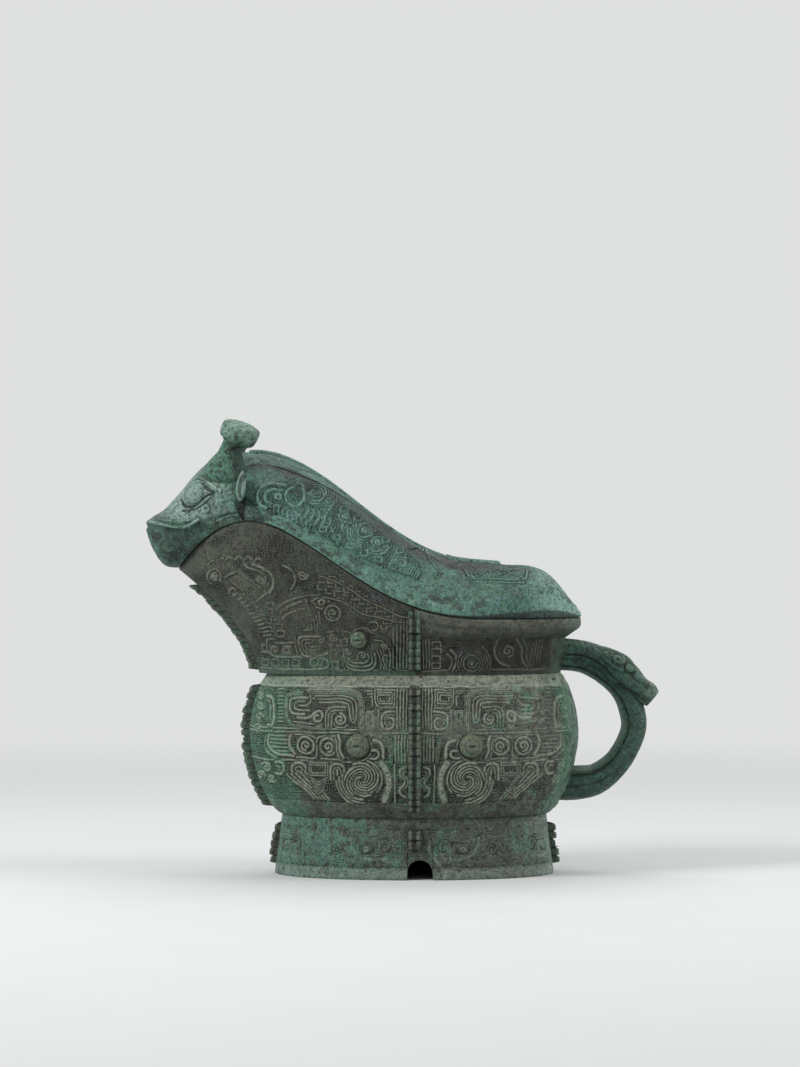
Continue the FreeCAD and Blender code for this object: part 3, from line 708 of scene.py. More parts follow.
@dataclass(frozen=True)
class Patina:
    """Finish of one part of the bronze: colours from bare metal to crust, and their spread."""

    name: str
    metal: str = "3a3f33"
    dark: str = "1e221c"
    green: str = "3f6a58"
    bright: str = "5f9683"
    # The ridge colour serves worn ridges, pale crust and painted highlights.
    ridge: str = "9aa497"
    # The dirt colour serves dirt in grooves and pits, and painted shade along the cover's lower lip.
    dirt_and_shade: str = "14160f"
    earth: str = "6a5a43"
    cool: str = "55707a"
    green_share: float = 0.5
    dark_share: float = 0.35
    bright_share: float = 0.3
    earth_share: float = 0.12
    cool_share: float = 0.15
    ridge_share: float = 0.35
    speck_share: float = 0.7
    pit_share: float = 0.7
    roughness: float = 0.52
    metallic: float = 0.25
    bump: float = 0.7
    seed: float = 0.0

    def material(self) -> bpy.types.Material:
        """Build the node tree of the finish."""
        found = bpy.data.materials.get(self.name)
        if found is not None:
            return found
        material = bpy.data.materials.new(self.name)
        material.use_nodes = True
        tree = material.node_tree
        shader = tree.nodes["Principled BSDF"]
        place = node(tree, "ShaderNodeTexCoord", {}, {}, "Object").shifted((self.seed, self.seed * 0.37, 0.0))

        def lumps(scale: float, detail: float = 4.0, rough: float = 0.6) -> Sock:
            """Noise over the bronze, in lumps per metre."""
            values = {"Vector": place, "Scale": scale, "Detail": detail, "Roughness": rough}
            return node(tree, "ShaderNodeTexNoise", {}, values, 0)

        def mark(name: str) -> Sock:
            """Value painted on the mesh."""
            return node(tree, "ShaderNodeAttribute", {"attribute_name": name}, {}, "Fac")

        broad = lumps(22.0)
        middle = lumps(75.0, 5.0, 0.65)
        mottle = lumps(190.0, 5.0, 0.75)
        fine = lumps(420.0, 3.0, 0.7)
        grain = lumps(1300.0, 2.0, 0.6)
        relief = mark("relief")
        high = relief.ramp(0.35, 1.0)
        # Grooves darken towards the dirt colour; the cover lip's painted shade comes in through the same
        # relief mark.
        groove_and_gap_shade = (-relief).ramp(-0.15, 0.45)
        moss = mark("moss")
        # The pale mark: above 0 it turns the colour towards the ridge colour, partly pale crust and partly
        # painted highlight; below 0 it is painted shade.
        pale = mark("pale")
        shade = (-pale).clamp()
        low_edge = 0.62 - 0.3 * self.green_share
        greens = (broad * 0.35 + middle * 0.25 + mottle * 0.4 + moss * 0.3).ramp(low_edge, low_edge + 0.1)
        colour = blend(tree, greens, self.metal, self.green)
        darks = (lumps(34.0, 6.0, 0.75) - moss * 0.2 + shade * 0.16).ramp(
            0.68 - 0.25 * self.dark_share, 0.76 - 0.2 * self.dark_share
        )
        spots = (1.0 - mottle).ramp(0.52, 0.62) * (0.25 + 0.5 * self.dark_share)
        colour = blend(tree, (darks * 0.85 + spots).clamp(), colour, self.dark)
        crust_edge = 0.68 - 0.22 * self.bright_share
        crust = (middle * 0.25 + mottle * 0.35 + fine * 0.4 + moss * 0.1).ramp(crust_edge, crust_edge + 0.08)
        colour = blend(tree, crust * 0.8, colour, self.bright)
        cools = lumps(140.0, 5.0, 0.75).ramp(0.6 - 0.14 * self.cool_share, 0.68) * (0.4 + self.cool_share)
        colour = blend(tree, cools, colour, self.cool)
        earths = (lumps(85.0, 5.0, 0.75) * 0.7 + fine * 0.3).ramp(
            0.62 - 0.12 * self.earth_share, 0.68 - 0.08 * self.earth_share
        )
        colour = blend(tree, earths * 0.75, colour, self.earth)
        # Ridge colour on high relief as wear, and where the pale mark is above 0 as pale crust and painted
        # highlight.
        wear_and_highlight = high * self.ridge_share * (fine * 1.2 + 0.3) + pale.clamp() * (middle * 0.5 + fine * 0.7 + 0.3)
        colour = blend(tree, wear_and_highlight.clamp(), colour, self.ridge)
        # Painted shade: where the pale mark is below 0 the colour darkens towards the dark colour, the dark
        # patches widen and the bright specks are held back.
        colour = blend(tree, shade * (middle * 0.5 + 0.55), colour, self.dark)
        colour = blend(tree, groove_and_gap_shade * (fine * 0.6 + 0.5), colour, self.dirt_and_shade)
        specks = lumps(950.0, 3.0, 0.75).ramp(0.53, 0.62) * (mottle * 2.2 - 0.5).clamp()
        spread = (specks * self.speck_share * (1 - groove_and_gap_shade * 0.7) * (1 - shade * 0.95)).clamp()
        colour = blend(tree, spread, colour, self.bright)
        pits = lumps(620.0, 3.0, 0.8).ramp(0.53, 0.63) * (1.5 - mottle * 1.4).clamp()
        colour = blend(tree, pits * self.pit_share, colour, self.dirt_and_shade)
        tree.links.new(colour.link, shader.inputs["Base Color"])
        rough = (middle - 0.5) * 0.3 + crust * 0.14 + groove_and_gap_shade * 0.16 - high * 0.1 + self.roughness
        tree.links.new(rough.clamp().link, shader.inputs["Roughness"])
        metallic = (self.metallic * (1 - greens * 0.6) * (1 - crust)).clamp()
        tree.links.new(metallic.link, shader.inputs["Metallic"])
        height = fine * 0.5 + grain * 0.35 + crust * 0.2 + specks * 0.2 - pits * 0.4
        values = {"Strength": self.bump, "Distance": 0.0019, "Height": height}
        bump = node(tree, "ShaderNodeBump", {}, values, "Normal")
        tree.links.new(bump.link, shader.inputs["Normal"])
        shader.inputs["Specular IOR Level"].default_value = 0.5
        return material


FOOT = Patina(
    "foot_patina", metal="4c5047", green="4a7060", bright="86aa98", ridge="9aa79b", dark="242823",
    earth="5a4238", earth_share=0.5, green_share=0.4, dark_share=0.45, seed=1.3,
)
BELLY = Patina(
    "belly_patina", metal="52544a", green="447059", bright="8cae95", ridge="acb09f", dark="20241d",
    earth="594239", cool="5b5960", earth_share=0.35, cool_share=0.3, dark_share=0.35, green_share=0.34,
    ridge_share=0.5, seed=2.1,
)
NECK = Patina(
    "neck_patina", metal="38392f", green="344d3d", bright="6d8b76", ridge="8f9383", dark="191b16",
    earth="4a3d33", cool="474a52", earth_share=0.3, cool_share=0.3,
    dark_share=0.5, green_share=0.25, bright_share=0.12, ridge_share=0.5, speck_share=0.5, seed=3.7,
)
COVER = Patina(
    "cover_patina", metal="424c46", green="3f6c5b", bright="80ae9a", ridge="8db3a4", dark="1a221f",
    cool="4f6a78", earth="4d4640", earth_share=0.3, dark_share=0.6, green_share=0.42, bright_share=0.34,
    cool_share=0.5, speck_share=0.9, pit_share=0.85, seed=4.9, bump=0.95,
)
HEAD = Patina(
    "head_patina", metal="48544c", green="467260", bright="8ab5a2", ridge="a9c3b8", dark="1a221f",
    cool="5a7880", dark_share=0.5, green_share=0.5, bright_share=0.4, cool_share=0.4, speck_share=0.9,
    pit_share=0.8, seed=4.9, bump=0.95,
)
HORN = Patina(
    "horn_patina", metal="47584e", green="48735f", bright="88b09c", ridge="9fb8a8", dark="1f2925",
    dark_share=0.5, green_share=0.5, bright_share=0.4, speck_share=0.9, pit_share=0.85, seed=6.2, bump=0.95,
)
HANDLE = Patina(
    "handle_patina", metal="303a33", green="2d5244", bright="628d7a", ridge="8a9c8d", dark="141a17",
    earth="705a3c", earth_share=0.3, dark_share=0.45, green_share=0.55, bright_share=0.2, seed=7.4,
)
FLANGE = Patina(
    "flange_patina", metal="4a4b3f", green="3d5a4a", bright="7b9482", ridge="94947f", dark="22251e",
    dark_share=0.45, green_share=0.3, speck_share=0.8, seed=8.8,
)
BOSS = Patina(
    "boss_patina", metal="585d4b", green="4c6d56", bright="7f9d82", ridge="9aa08c", dark="2a2e25",
    dark_share=0.2, green_share=0.35, seed=9.6,
)
TONGUE = Patina("tongue_patina", metal="4a4f40", green="41604f", bright="6e8f7a", ridge="96a092", seed=10.3)


def dress(obj: bpy.types.Object, finish: Patina) -> None:
    """Give a piece its finish."""
    obj.data.materials.clear()
    obj.data.materials.append(finish.material())


# Plan and levels of the body


@dataclass(frozen=True)
class Levels:
    """Levels and plan sizes of the whole vessel, read from the frame where it holds them."""

    foot_top: float
    widest: float
    shoulder: float
    neck: float
    rim: float
    crest: float
    tip: float
    mid_x: float = 1.3
    square: float = 2.1

    def rim_height(self, x: Any) -> Array:
        """Height of the joint line between vessel and cover."""
        x = np.asarray(x, float)
        share = np.clip((50.0 - x) / 145.0, 0, None)
        back = self.rim + (self.crest - self.rim) * smooth(share**1.42)
        front = self.crest - (self.crest - self.tip) * ((-95.0 - x) / 42.0) ** 2
        return np.where(x >= -95.0, back, front)

    def spine_height(self, x: Any) -> Array:
        """Height of the cover's top line."""
        heights = [(SEAM_X, 40.8), (-45.0, 44.5), (19.4, 33.5), (52.0, 31.0), (78.3, 26.5), (99.3, 2.0)]
        return self.rim_height(x) + curve_through(heights, x)

    def roof_half_width(self, x: Any) -> Array:
        """Half width over which the cover's roof falls to its lip."""
        share = np.clip((self.mid_x - np.asarray(x, float)) / SPOUT_LENGTH, 0, 1)
        return RIM_WIDTH * (1 - share**2.0) ** (1 / 1.75)


@dataclass
class Wall:
    """Upright wall whose plan changes with height."""

    levels: Levels
    sizes: Callable[[Array], tuple]
    reference: float

    def __post_init__(self) -> None:
        """Measure the wall along its reference level, from the side seam."""
        angles = np.linspace(0, np.pi, 6001)
        x, y = self.outline(angles, np.full(angles.shape, self.reference))
        run = run_along(x, y)
        middle = np.interp(np.pi / 2, angles, run)
        self.angles = angles
        self.runs = middle - run

    def outline(self, angle: Array, z: Array, inset: float = 0.0) -> tuple[Array, Array]:
        """X and distance from the plane of symmetry at plan angles and heights."""
        back, front, width, p, q = self.sizes(z)
        c, s = np.cos(angle), np.abs(np.sin(angle))
        rear = c >= 0
        square = self.levels.square
        reach = np.where(rear, back - inset, front - inset)
        power_x = np.where(rear, 2 / square, 2 / p)
        power_y = np.where(rear, 2 / square, 2 / q)
        x = self.levels.mid_x + np.sign(c) * reach * np.abs(c) ** power_x
        return x, (width - inset) * s**power_y

    def points(self, angle: Array, z: Array, inset: float = 0.0) -> Array:
        """Points of the near side at plan angles and heights."""
        x, y = self.outline(angle, z, inset)
        return np.stack([x, -y, z], -1)

    def run_of(self, angle: Array) -> Array:
        """Distance along the wall from the side seam, positive to the handle."""
        return np.interp(angle, self.angles, self.runs)

    def angle_of(self, run: Array) -> Array:
        """Plan angle at a distance along the wall."""
        return np.interp(-run, -self.runs, self.angles)

    def seen(self, x: Array, z: Array) -> Array:
        """Distance along the wall of points given as seen from the side."""
        back, front, width, p, q = self.sizes(z)
        offset = x - self.levels.mid_x
        rear = offset >= 0
        share = np.clip(np.abs(offset) / np.where(rear, back, front), 0, 0.9995)
        c = share ** (np.where(rear, self.levels.square, p) / 2)
        return self.run_of(np.arccos(np.where(rear, c, -c)))


def from_side(points: Array, unit: float = WALL_UNIT) -> tuple[Array, Array]:
    """X and height of drawing units that each span so many millimetres, on the near side."""
    return (points[:, 0] - DRAWN_X) * unit + VIEW_X, VIEW_Z - (points[:, 1] - DRAWN_Y) * unit


def spaced(low: float, high: float, step: float, every: int) -> Array:
    """Even values from low to high, in a whole number of coarse steps."""
    count = max(int(round(abs(high - low) / step / every)), 2) * every
    return np.linspace(low, high, count + 1)


def by_length(values: Array, lengths: Array, step: float, every: int) -> Array:
    """Values spaced evenly by the length that they run along."""
    return np.interp(spaced(lengths[0], lengths[-1], step, every), lengths, values)


def mirrored(points: Array, side: Side) -> Array:
    """Near-side points, or their mirror image on the far side."""
    return points if side is Side.NEAR else points * (1, -1, 1)


def marked(relief: Array, field_share: Array | float = 1.0) -> Array:
    """Marks from -1 in a groove to 1 on a band, of the relief of a drawn field."""
    return np.clip((relief + 0.2 * field_share) * 2.0, -1, 1)


def ear_hollow(x: Array, z: Array, levels: Levels) -> Array:
    """Share of the hollow behind the ear, which runs over the seam of head and roof."""
    from_x, from_z = x + 94.0, z - levels.crest - 5.5
    along = from_x * 0.64 - from_z * 0.77
    over = from_x * 0.77 + from_z * 0.64
    return smooth(1.5 * (1 - (along / 12.5) ** 2 - (over / 6.5) ** 2))


def weather(grid: Array, side: Side, seed: int, coarse: Array | float = 0.0) -> tuple[Array, Array]:
    """Corrosion of a wall: how far the ornament has faded, and the crust's own height."""
    placed = grid * (1, side.sign, 1)
    fade = 1 - 0.6 * smooth(clouds(placed, 22.0, seed) * 1.6 + 0.15)
    pits = clouds(placed, 2.6, seed + 3, 2)
    blisters = np.maximum(clouds(placed, 3.4, seed + 9, 2), -0.2)
    return fade, 0.12 * pits - 0.36 * smooth(pits * 2.2 - 0.8) + coarse * 0.4 * blisters


class BellyWall:
    """Belly with its mask of raised bands over a thunder ground."""

    def __init__(self, levels: Levels) -> None:
        """Work out the wall and draw its relief."""
        self.levels = levels
        self.wall = Wall(levels, self.sizes, levels.widest)
        front = float(self.wall.runs[-1])
        self.board = Board(front - 1, 1.0, levels.foot_top, levels.neck + 1, self.place)
        self.draw()

    def half_sizes(self, z: Array) -> tuple[Array, Array]:
        """Half length and half width of the belly."""
        lv = self.levels
        z = np.asarray(z, float)
        down = np.clip((lv.widest - z) / (lv.widest - lv.foot_top), 0, 1)
        low = (1 - down**1.6) ** (1 / 1.6)
        high = np.clip((z - lv.widest) / (lv.shoulder - lv.widest), 0, 1) ** 2
        last = np.clip((z - lv.shoulder) / (lv.neck - lv.shoulder), 0, 1)
        found = []
        for base, belly, shoulder, neck in (
            (BASE_LENGTH, BELLY_LENGTH, 89.7, NECK_LENGTH), (BASE_WIDTH, BELLY_WIDTH, 57.5, NECK_WIDTH),
        ):
            half = np.where(z <= lv.widest, mix(base, belly, low), mix(belly, shoulder, high))
            found.append(np.where(z > lv.shoulder, mix(shoulder, neck, last), half))
        return found[0], found[1]

    def sizes(self, z: Array) -> tuple:
        """Back, front, half width and front exponents."""
        length, width = self.half_sizes(z)
        square = np.full(np.shape(length), self.levels.square)
        return length, length, width, square, square

    def place(self, points: Array) -> Array:
        """Wall places of drawing units."""
        x, z = from_side(points)
        return np.stack([-np.abs(self.wall.seen(x, z)), z], 1)

    def draw(self) -> None:
        """Draw the quarter mask, from the spout's end to the side flange."""
        for y in (683.6, 687.0, 729.8, 733.4, 762.2, 805.4):
            self.board.level(y, 243.5, 409.0, 0.8, 0.45)
        self.draw_crown()
        self.draw_eye_row()
        self.draw_jaw()

    def draw_crown(self) -> None:
        """Draw the upper register: ear, coiled snout, broad body band and square spirals."""
        b = self.board
        b.ribbon(coil(258.1, 699.6, 4.2, 1.3, 200), 1.1)
        b.ribbon(coil(258.4, 708.2, 4.2, 1.3, 20), 1.1)
        b.ribbon(coil(256.1, 730.0, 4.4, 1.3, 90), 1.1)
        b.ribbon(coil(257.2, 719.7, 4.0, 1.2, 0, -1), 1.0)
        b.band([
            (264.7, 698.5), (270.1, 699.6), (272.7, 705.9), (273.1, 724.3), (269.6, 728.9), (266.6, 727.2),
        ], 1.7, 0.6)
        b.line([(265.8, 703.0), (268.5, 705.3), (268.7, 722.0)])
        for k in range(10):
            b.thread([(276.8, 690.6 + 3.7 * k), (282.2, 690.2 + 3.7 * k)], 0.7)
        b.band([
            (302.0, 694.4), (288.8, 694.4), (285.0, 699.0), (285.0, 719.7), (289.4, 724.9), (302.0, 727.5),
            (322.7, 727.5), (324.7, 724.3),
        ], 2.0, 0.62, (0.45,))
        b.band([
            (313.5, 698.8), (291.7, 698.8), (289.1, 702.5), (289.1, 711.7), (292.2, 715.1), (304.3, 715.1),
        ], 1.2, 0.5)
        b.line([(304.3, 702.7), (294.9, 702.7), (293.0, 707.1), (294.9, 711.2), (308.9, 711.2)], 0.8)
        b.line([(308.9, 694.4), (311.2, 702.7), (304.3, 707.1), (298.5, 706.5)], 0.8)
        b.band([
            (297.4, 718.8), (308.9, 718.8), (313.5, 714.0), (320.4, 710.5), (322.7, 717.4), (319.2, 722.9),
            (313.5, 721.4), (313.5, 717.2), (317.6, 716.0),
        ], 1.5, 0.6)
        b.line([(292.2, 722.6), (304.3, 723.4), (313.5, 725.0)], 0.8)
        b.band([
            (308.9, 691.4), (349.1, 691.4), (357.8, 694.2), (361.6, 700.6), (361.6, 729.4),
        ], 3.3, 0.7, (1.1, 0.0))
        b.line([
            (314.6, 696.3), (346.8, 696.3), (355.0, 699.6), (356.9, 705.9), (356.2, 718.0), (353.2, 724.1),
            (349.7, 719.7), (349.6, 706.5), (346.2, 702.7), (319.2, 702.7),
        ], 0.85)
        b.line([(316.9, 699.5), (345.0, 699.5), (350.2, 700.9), (353.0, 705.9), (353.0, 719.7)], 0.7)
        b.line([(325.2, 727.7), (325.2, 707.3), (346.2, 707.3)], 0.8)
        b.line([(328.2, 728.0), (328.2, 710.5), (343.3, 710.5)], 0.7)
        b.ribbon(coil(339.6, 719.7, 6.2, 1.6, -80), 1.2, 0.6)
        b.line([(331.3, 728.0), (331.3, 714.0), (335.3, 713.5)], 0.7)
        b.line([(333.6, 724.3), (336.4, 728.0), (343.3, 728.4), (346.8, 725.4)], 0.7)
        b.thread(fret(384.9, 698.1, 9.6, 8.0, 3, 2.5), 0.8)
        for k in range(3):
            b.thread([
                (365.0 + 2.7 * k, 691.5 + 2.6 * k), (373.4 - 0.4 * k, 691.5 + 2.6 * k),
                (373.4 - 0.4 * k, 706.0),
            ], 0.7)
        b.line([(375.5, 690.1), (375.5, 708.0), (394.4, 708.0)], 0.8)
        b.band([
            (399.8, 711.9), (387.2, 711.9), (382.3, 715.1), (381.8, 724.3), (384.9, 729.1), (391.8, 729.1),
            (394.7, 725.4), (394.1, 718.3), (387.9, 717.6),
        ], 1.3, 0.55)
        b.line([
            (399.8, 714.9), (388.3, 714.9), (385.1, 717.4), (385.1, 723.7), (387.2, 726.1), (390.4, 725.7),
            (391.1, 722.0),
        ], 0.7)
        b.uprights((375.6, 378.6), 709.5, 728.8)
        b.thread(fret(370.3, 719.7, 4.0, 8.6, 2, 1.9), 0.7)
        b.uprights((397.4, 400.6, 403.8, 407.0), 690, 729.0)

    def draw_eye_row(self) -> None:
        """Draw the middle register: feather rows, two spirals, the eye's socket and its corner band."""
        b = self.board
        for k in range(6):
            b.thread([(266.0 + 0.8 * k, 737.2 + 3.9 * k), (286.5, 737.6 + 3.9 * k)], 0.8)
        b.band([
            (267.3, 736.7), (265.8, 745.0), (268.7, 751.8), (277.9, 756.7), (290.5, 757.6), (295.1, 759.0),
        ], 1.5, 0.58)
        b.line([(264.1, 738.1), (262.5, 747.2), (265.5, 755.3), (274.4, 759.6)], 0.8)
        b.band([(290.5, 736.7), (288.8, 741.5), (289.4, 748.4), (294.2, 755.5)], 1.7, 0.6)
        b.line([
            (295.1, 759.0), (313.5, 759.4), (316.7, 755.5), (316.0, 740.4), (319.2, 737.1), (337.3, 737.1),
        ], 0.85)
        b.line([(294.0, 736.2), (312.9, 736.2), (314.8, 739.2)], 0.8)
        for x, y, hand in ((305.4, 746.6, 1), (328.4, 747.0, -1)):
            b.ribbon(arc(x, y, 8.3, 0, 360, 30), 1.2, 0.6)
            b.ribbon(coil(x, y, 5.4, 1.25, 90, hand), 1.2, 0.6)
        b.line([(320.4, 759.0), (337.6, 759.6), (343.9, 760.1)], 0.8)
        b.band([(339.0, 736.2), (341.0, 742.1), (339.6, 750.7), (343.3, 757.6)], 1.5, 0.55)
        b.line([(335.9, 739.2), (337.8, 745.0), (336.7, 751.8), (339.0, 757.6)], 0.8)
        b.area(arc(357.1, 747.0, 14.2, 0, 345, 22), -0.35, 0.7, True)
        b.ribbon(arc(357.1, 747.0, 14.6, -60, 75, 16), 0.9, 0.5)
        b.band([
            (365.1, 735.8), (381.8, 736.0), (388.1, 740.4), (391.3, 749.5), (392.1, 762.2),
        ], 2.6, 0.62, (0.0, 0.85))
        b.band([(373.7, 740.4), (379.5, 741.0), (382.9, 745.5), (383.7, 759.0)], 1.6, 0.55)
        b.band([(370.9, 750.9), (377.8, 750.2), (379.4, 755.1), (375.5, 759.0), (369.7, 758.5)], 1.2, 0.5)
        b.uprights((395.6, 398.8, 402.0, 405.2, 408.2), 736.2, 761.0)

    def draw_jaw(self) -> None:
        """Draw the lower register: claws, flowing strands, nested frets, the whorl and the ringed band."""
        b = self.board
        b.ribbon(coil(264.7, 770.2, 5.2, 1.4, 200), 1.2)
        b.ribbon(coil(258.9, 779.4, 4.6, 1.4, 20, -1), 1.1)
        b.ribbon(coil(270.4, 781.7, 4.6, 1.4, 20), 1.1)
        b.band([(274.4, 763.9), (281.3, 763.9), (283.6, 770.2), (280.2, 777.1), (274.4, 775.9)], 1.5)
        b.line([(274.4, 767.9), (278.5, 768.5), (279.0, 772.5)], 0.8)
        b.band([
            (305.0, 775.9), (305.7, 768.5), (301.4, 764.2), (294.0, 764.7), (290.5, 769.1), (291.7, 773.6),
        ], 1.6, 0.6)
        b.line([
            (301.5, 774.8), (301.5, 769.3), (298.0, 767.9), (294.6, 769.6), (295.1, 773.1), (298.5, 773.6),
        ], 0.8)
        for k in range(5):
            line = [
                (286.0 + 4.6 * k, 776.5 - 0.9 * k), (294.0 + 4.4 * k, 784.5 - 0.6 * k),
                (304.5 + 4.0 * k, 790.5), (314.0 + 3.6 * k, 800.0),
            ]
            b.band(line, 1.15, 0.55)
        b.thread(fret(318.3, 770.0, 9.4, 6.6, 2, 2.4), 0.8)
        for k in range(5):
            y = 778.6 + 3.0 * k
            b.thread([(309.5 + 1.0 * k, y), (318.3, y + 5.0), (327.0 - 1.0 * k, y)], 0.7)
        b.band([
            (330.7, 780.5), (330.1, 767.3), (334.1, 763.9), (340.1, 763.9), (344.2, 767.9), (344.2, 775.9),
        ], 1.4, 0.6)
        b.line([(333.9, 780.5), (333.4, 769.6), (337.0, 767.0), (340.8, 769.6), (341.0, 777.1)], 0.8)
        b.ribbon([(337.1, 770.2), (337.8, 778.2)], 1.1, 0.55)
        for k, r in enumerate((20.6, 23.6, 26.6)):
            b.ribbon(arc(362.6, 780.0, r, 88, 196 - 10 * k, 16), 1.15, 0.6)
        for k in range(6):
            b.ribbon(coil(362.6, 780.0, 18.2, 0.86, 60 * k, 1, 0.16), 1.25, 0.66)
        b.ribbon(arc(362.6, 780.0, 19.4, -75, 40, 14), 1.1, 0.55)
        b.band([(382.3, 763.9), (388.3, 773.1), (389.2, 787.4), (384.9, 800.6)], 4.9, 0.66, (2.0,))
        for y in (775.0, 784.2, 793.4):
            b.cut(arc(388.6 - 0.004 * (y - 784) ** 2, y, 2.5, 0, 360, 12), 0.7, 0.55)
        b.thread([(394.7, 763.9), (395.4, 803.5)], 0.9)
        b.band([
            (405.9, 766.8), (400.1, 768.5), (400.1, 774.8), (405.3, 779.4), (405.3, 785.1), (400.1, 788.6),
            (400.1, 794.3), (405.9, 797.2),
        ], 1.3, 0.55)
        b.line([
            (405.9, 770.8), (403.0, 771.9), (403.6, 775.4), (408.3, 779.4), (408.3, 786.3), (403.6, 789.7),
        ], 0.8)

    def build(self, side: Side, end: End) -> bpy.types.Object:
        """Build one quarter of the belly."""
        lv = self.levels
        every = 6
        z_fine = np.linspace(lv.foot_top, lv.neck, 1200)
        z_fine[0] += 0.02
        width = self.half_sizes(z_fine)[1]
        run = run_along(z_fine, width)
        z = by_length(z_fine, run, 0.38, every)
        last = self.wall.runs[0] if end is End.HANDLE else self.wall.runs[-1]
        columns = self.wall.angle_of(spaced(0.0, float(last), 0.37, every))
        angle, height = np.meshgrid(columns, z)
        grid = self.wall.points(angle, height)
        x, y = grid[..., 0], grid[..., 1]
        s = self.wall.run_of(angle)
        placed = grid * (1, side.sign * -1, 1)
        s_bent, h_bent = distort(s, height, placed, 3)
        cover, raised, incised, lift = self.board.read(-np.abs(s_bent), h_bent)
        field_share = smooth((height - 43.6) / 1.4) * (1 - smooth((height - 111.0) / 1.4))
        plain = np.zeros_like(s)
        patch = np.zeros_like(s)
        if end is End.HANDLE:
            plain = smooth((s - (float(last) - 27.0)) / 2.2)
            patch = smooth((s - (float(last) - 42.0)) / 26.0)
        ground = 1.2 * thunder_ground(s_bent, h_bent, 6.3, 5.5, 1.58) * (1 - cover)
        rear = smooth((x - 12) / 50)
        fade, crust = weather(grid, side, 11, 0.25 + 0.8 * rear)
        fade = fade * (1 - 0.4 * rear)
        drawn = (ground + raised - incised + lift) * field_share * (1 - plain)
        relief = drawn * fade * 1.15
        normal = outward_of(grid)
        normal = normal * np.sign((normal[..., 0] * (x - lv.mid_x) + normal[..., 1] * y).sum() + 1e-9)
        moved = grid + normal * (relief + crust)[..., None]
        levels_inside = np.linspace(lv.foot_top + 3.0, lv.neck, (len(z) - 1) // every + 1)
        inner = self.wall.points(*np.meshgrid(columns[::every], levels_inside), WALL)
        moved, inner = mirrored(moved, side), mirrored(inner, side)
        moss = smooth((-s - 60) / 50) * 1.0 + 0.75 * patch
        pale = 0.48 * smooth((height - 108) / 4) + 0.1 * patch
        name = f"belly_{end.value}_{side.value}"
        marks = marked(relief + 0.8 * crust, field_share * (1 - plain))
        return wall_piece(name, moved, inner, every, relief=marks, moss=moss, pale=pale)

    def floor(self) -> bpy.types.Object:
        """Build the vessel's floor, seen from below inside the foot."""
        lv = self.levels
        angle, share = np.meshgrid(np.linspace(0, 2 * np.pi, 145), np.linspace(0.02, 1.0, 25))
        square = lv.square
        c, s = np.cos(angle), np.sin(angle)
        x = lv.mid_x + 76.0 * share * np.sign(c) * np.abs(c) ** (2 / square)
        y = 49.5 * share * np.sign(s) * np.abs(s) ** (2 / square)
        under = np.stack([x, y, np.full_like(x, lv.foot_top + 0.02)], 2)
        under[..., 2] += 0.25 * clouds(under, 6.0, 81)
        over = np.stack([x, y, np.full_like(x, lv.foot_top + 3.5)], 2)[::4, ::4]
        return wall_piece("vessel_floor", under, over, 4, moss=0.3)


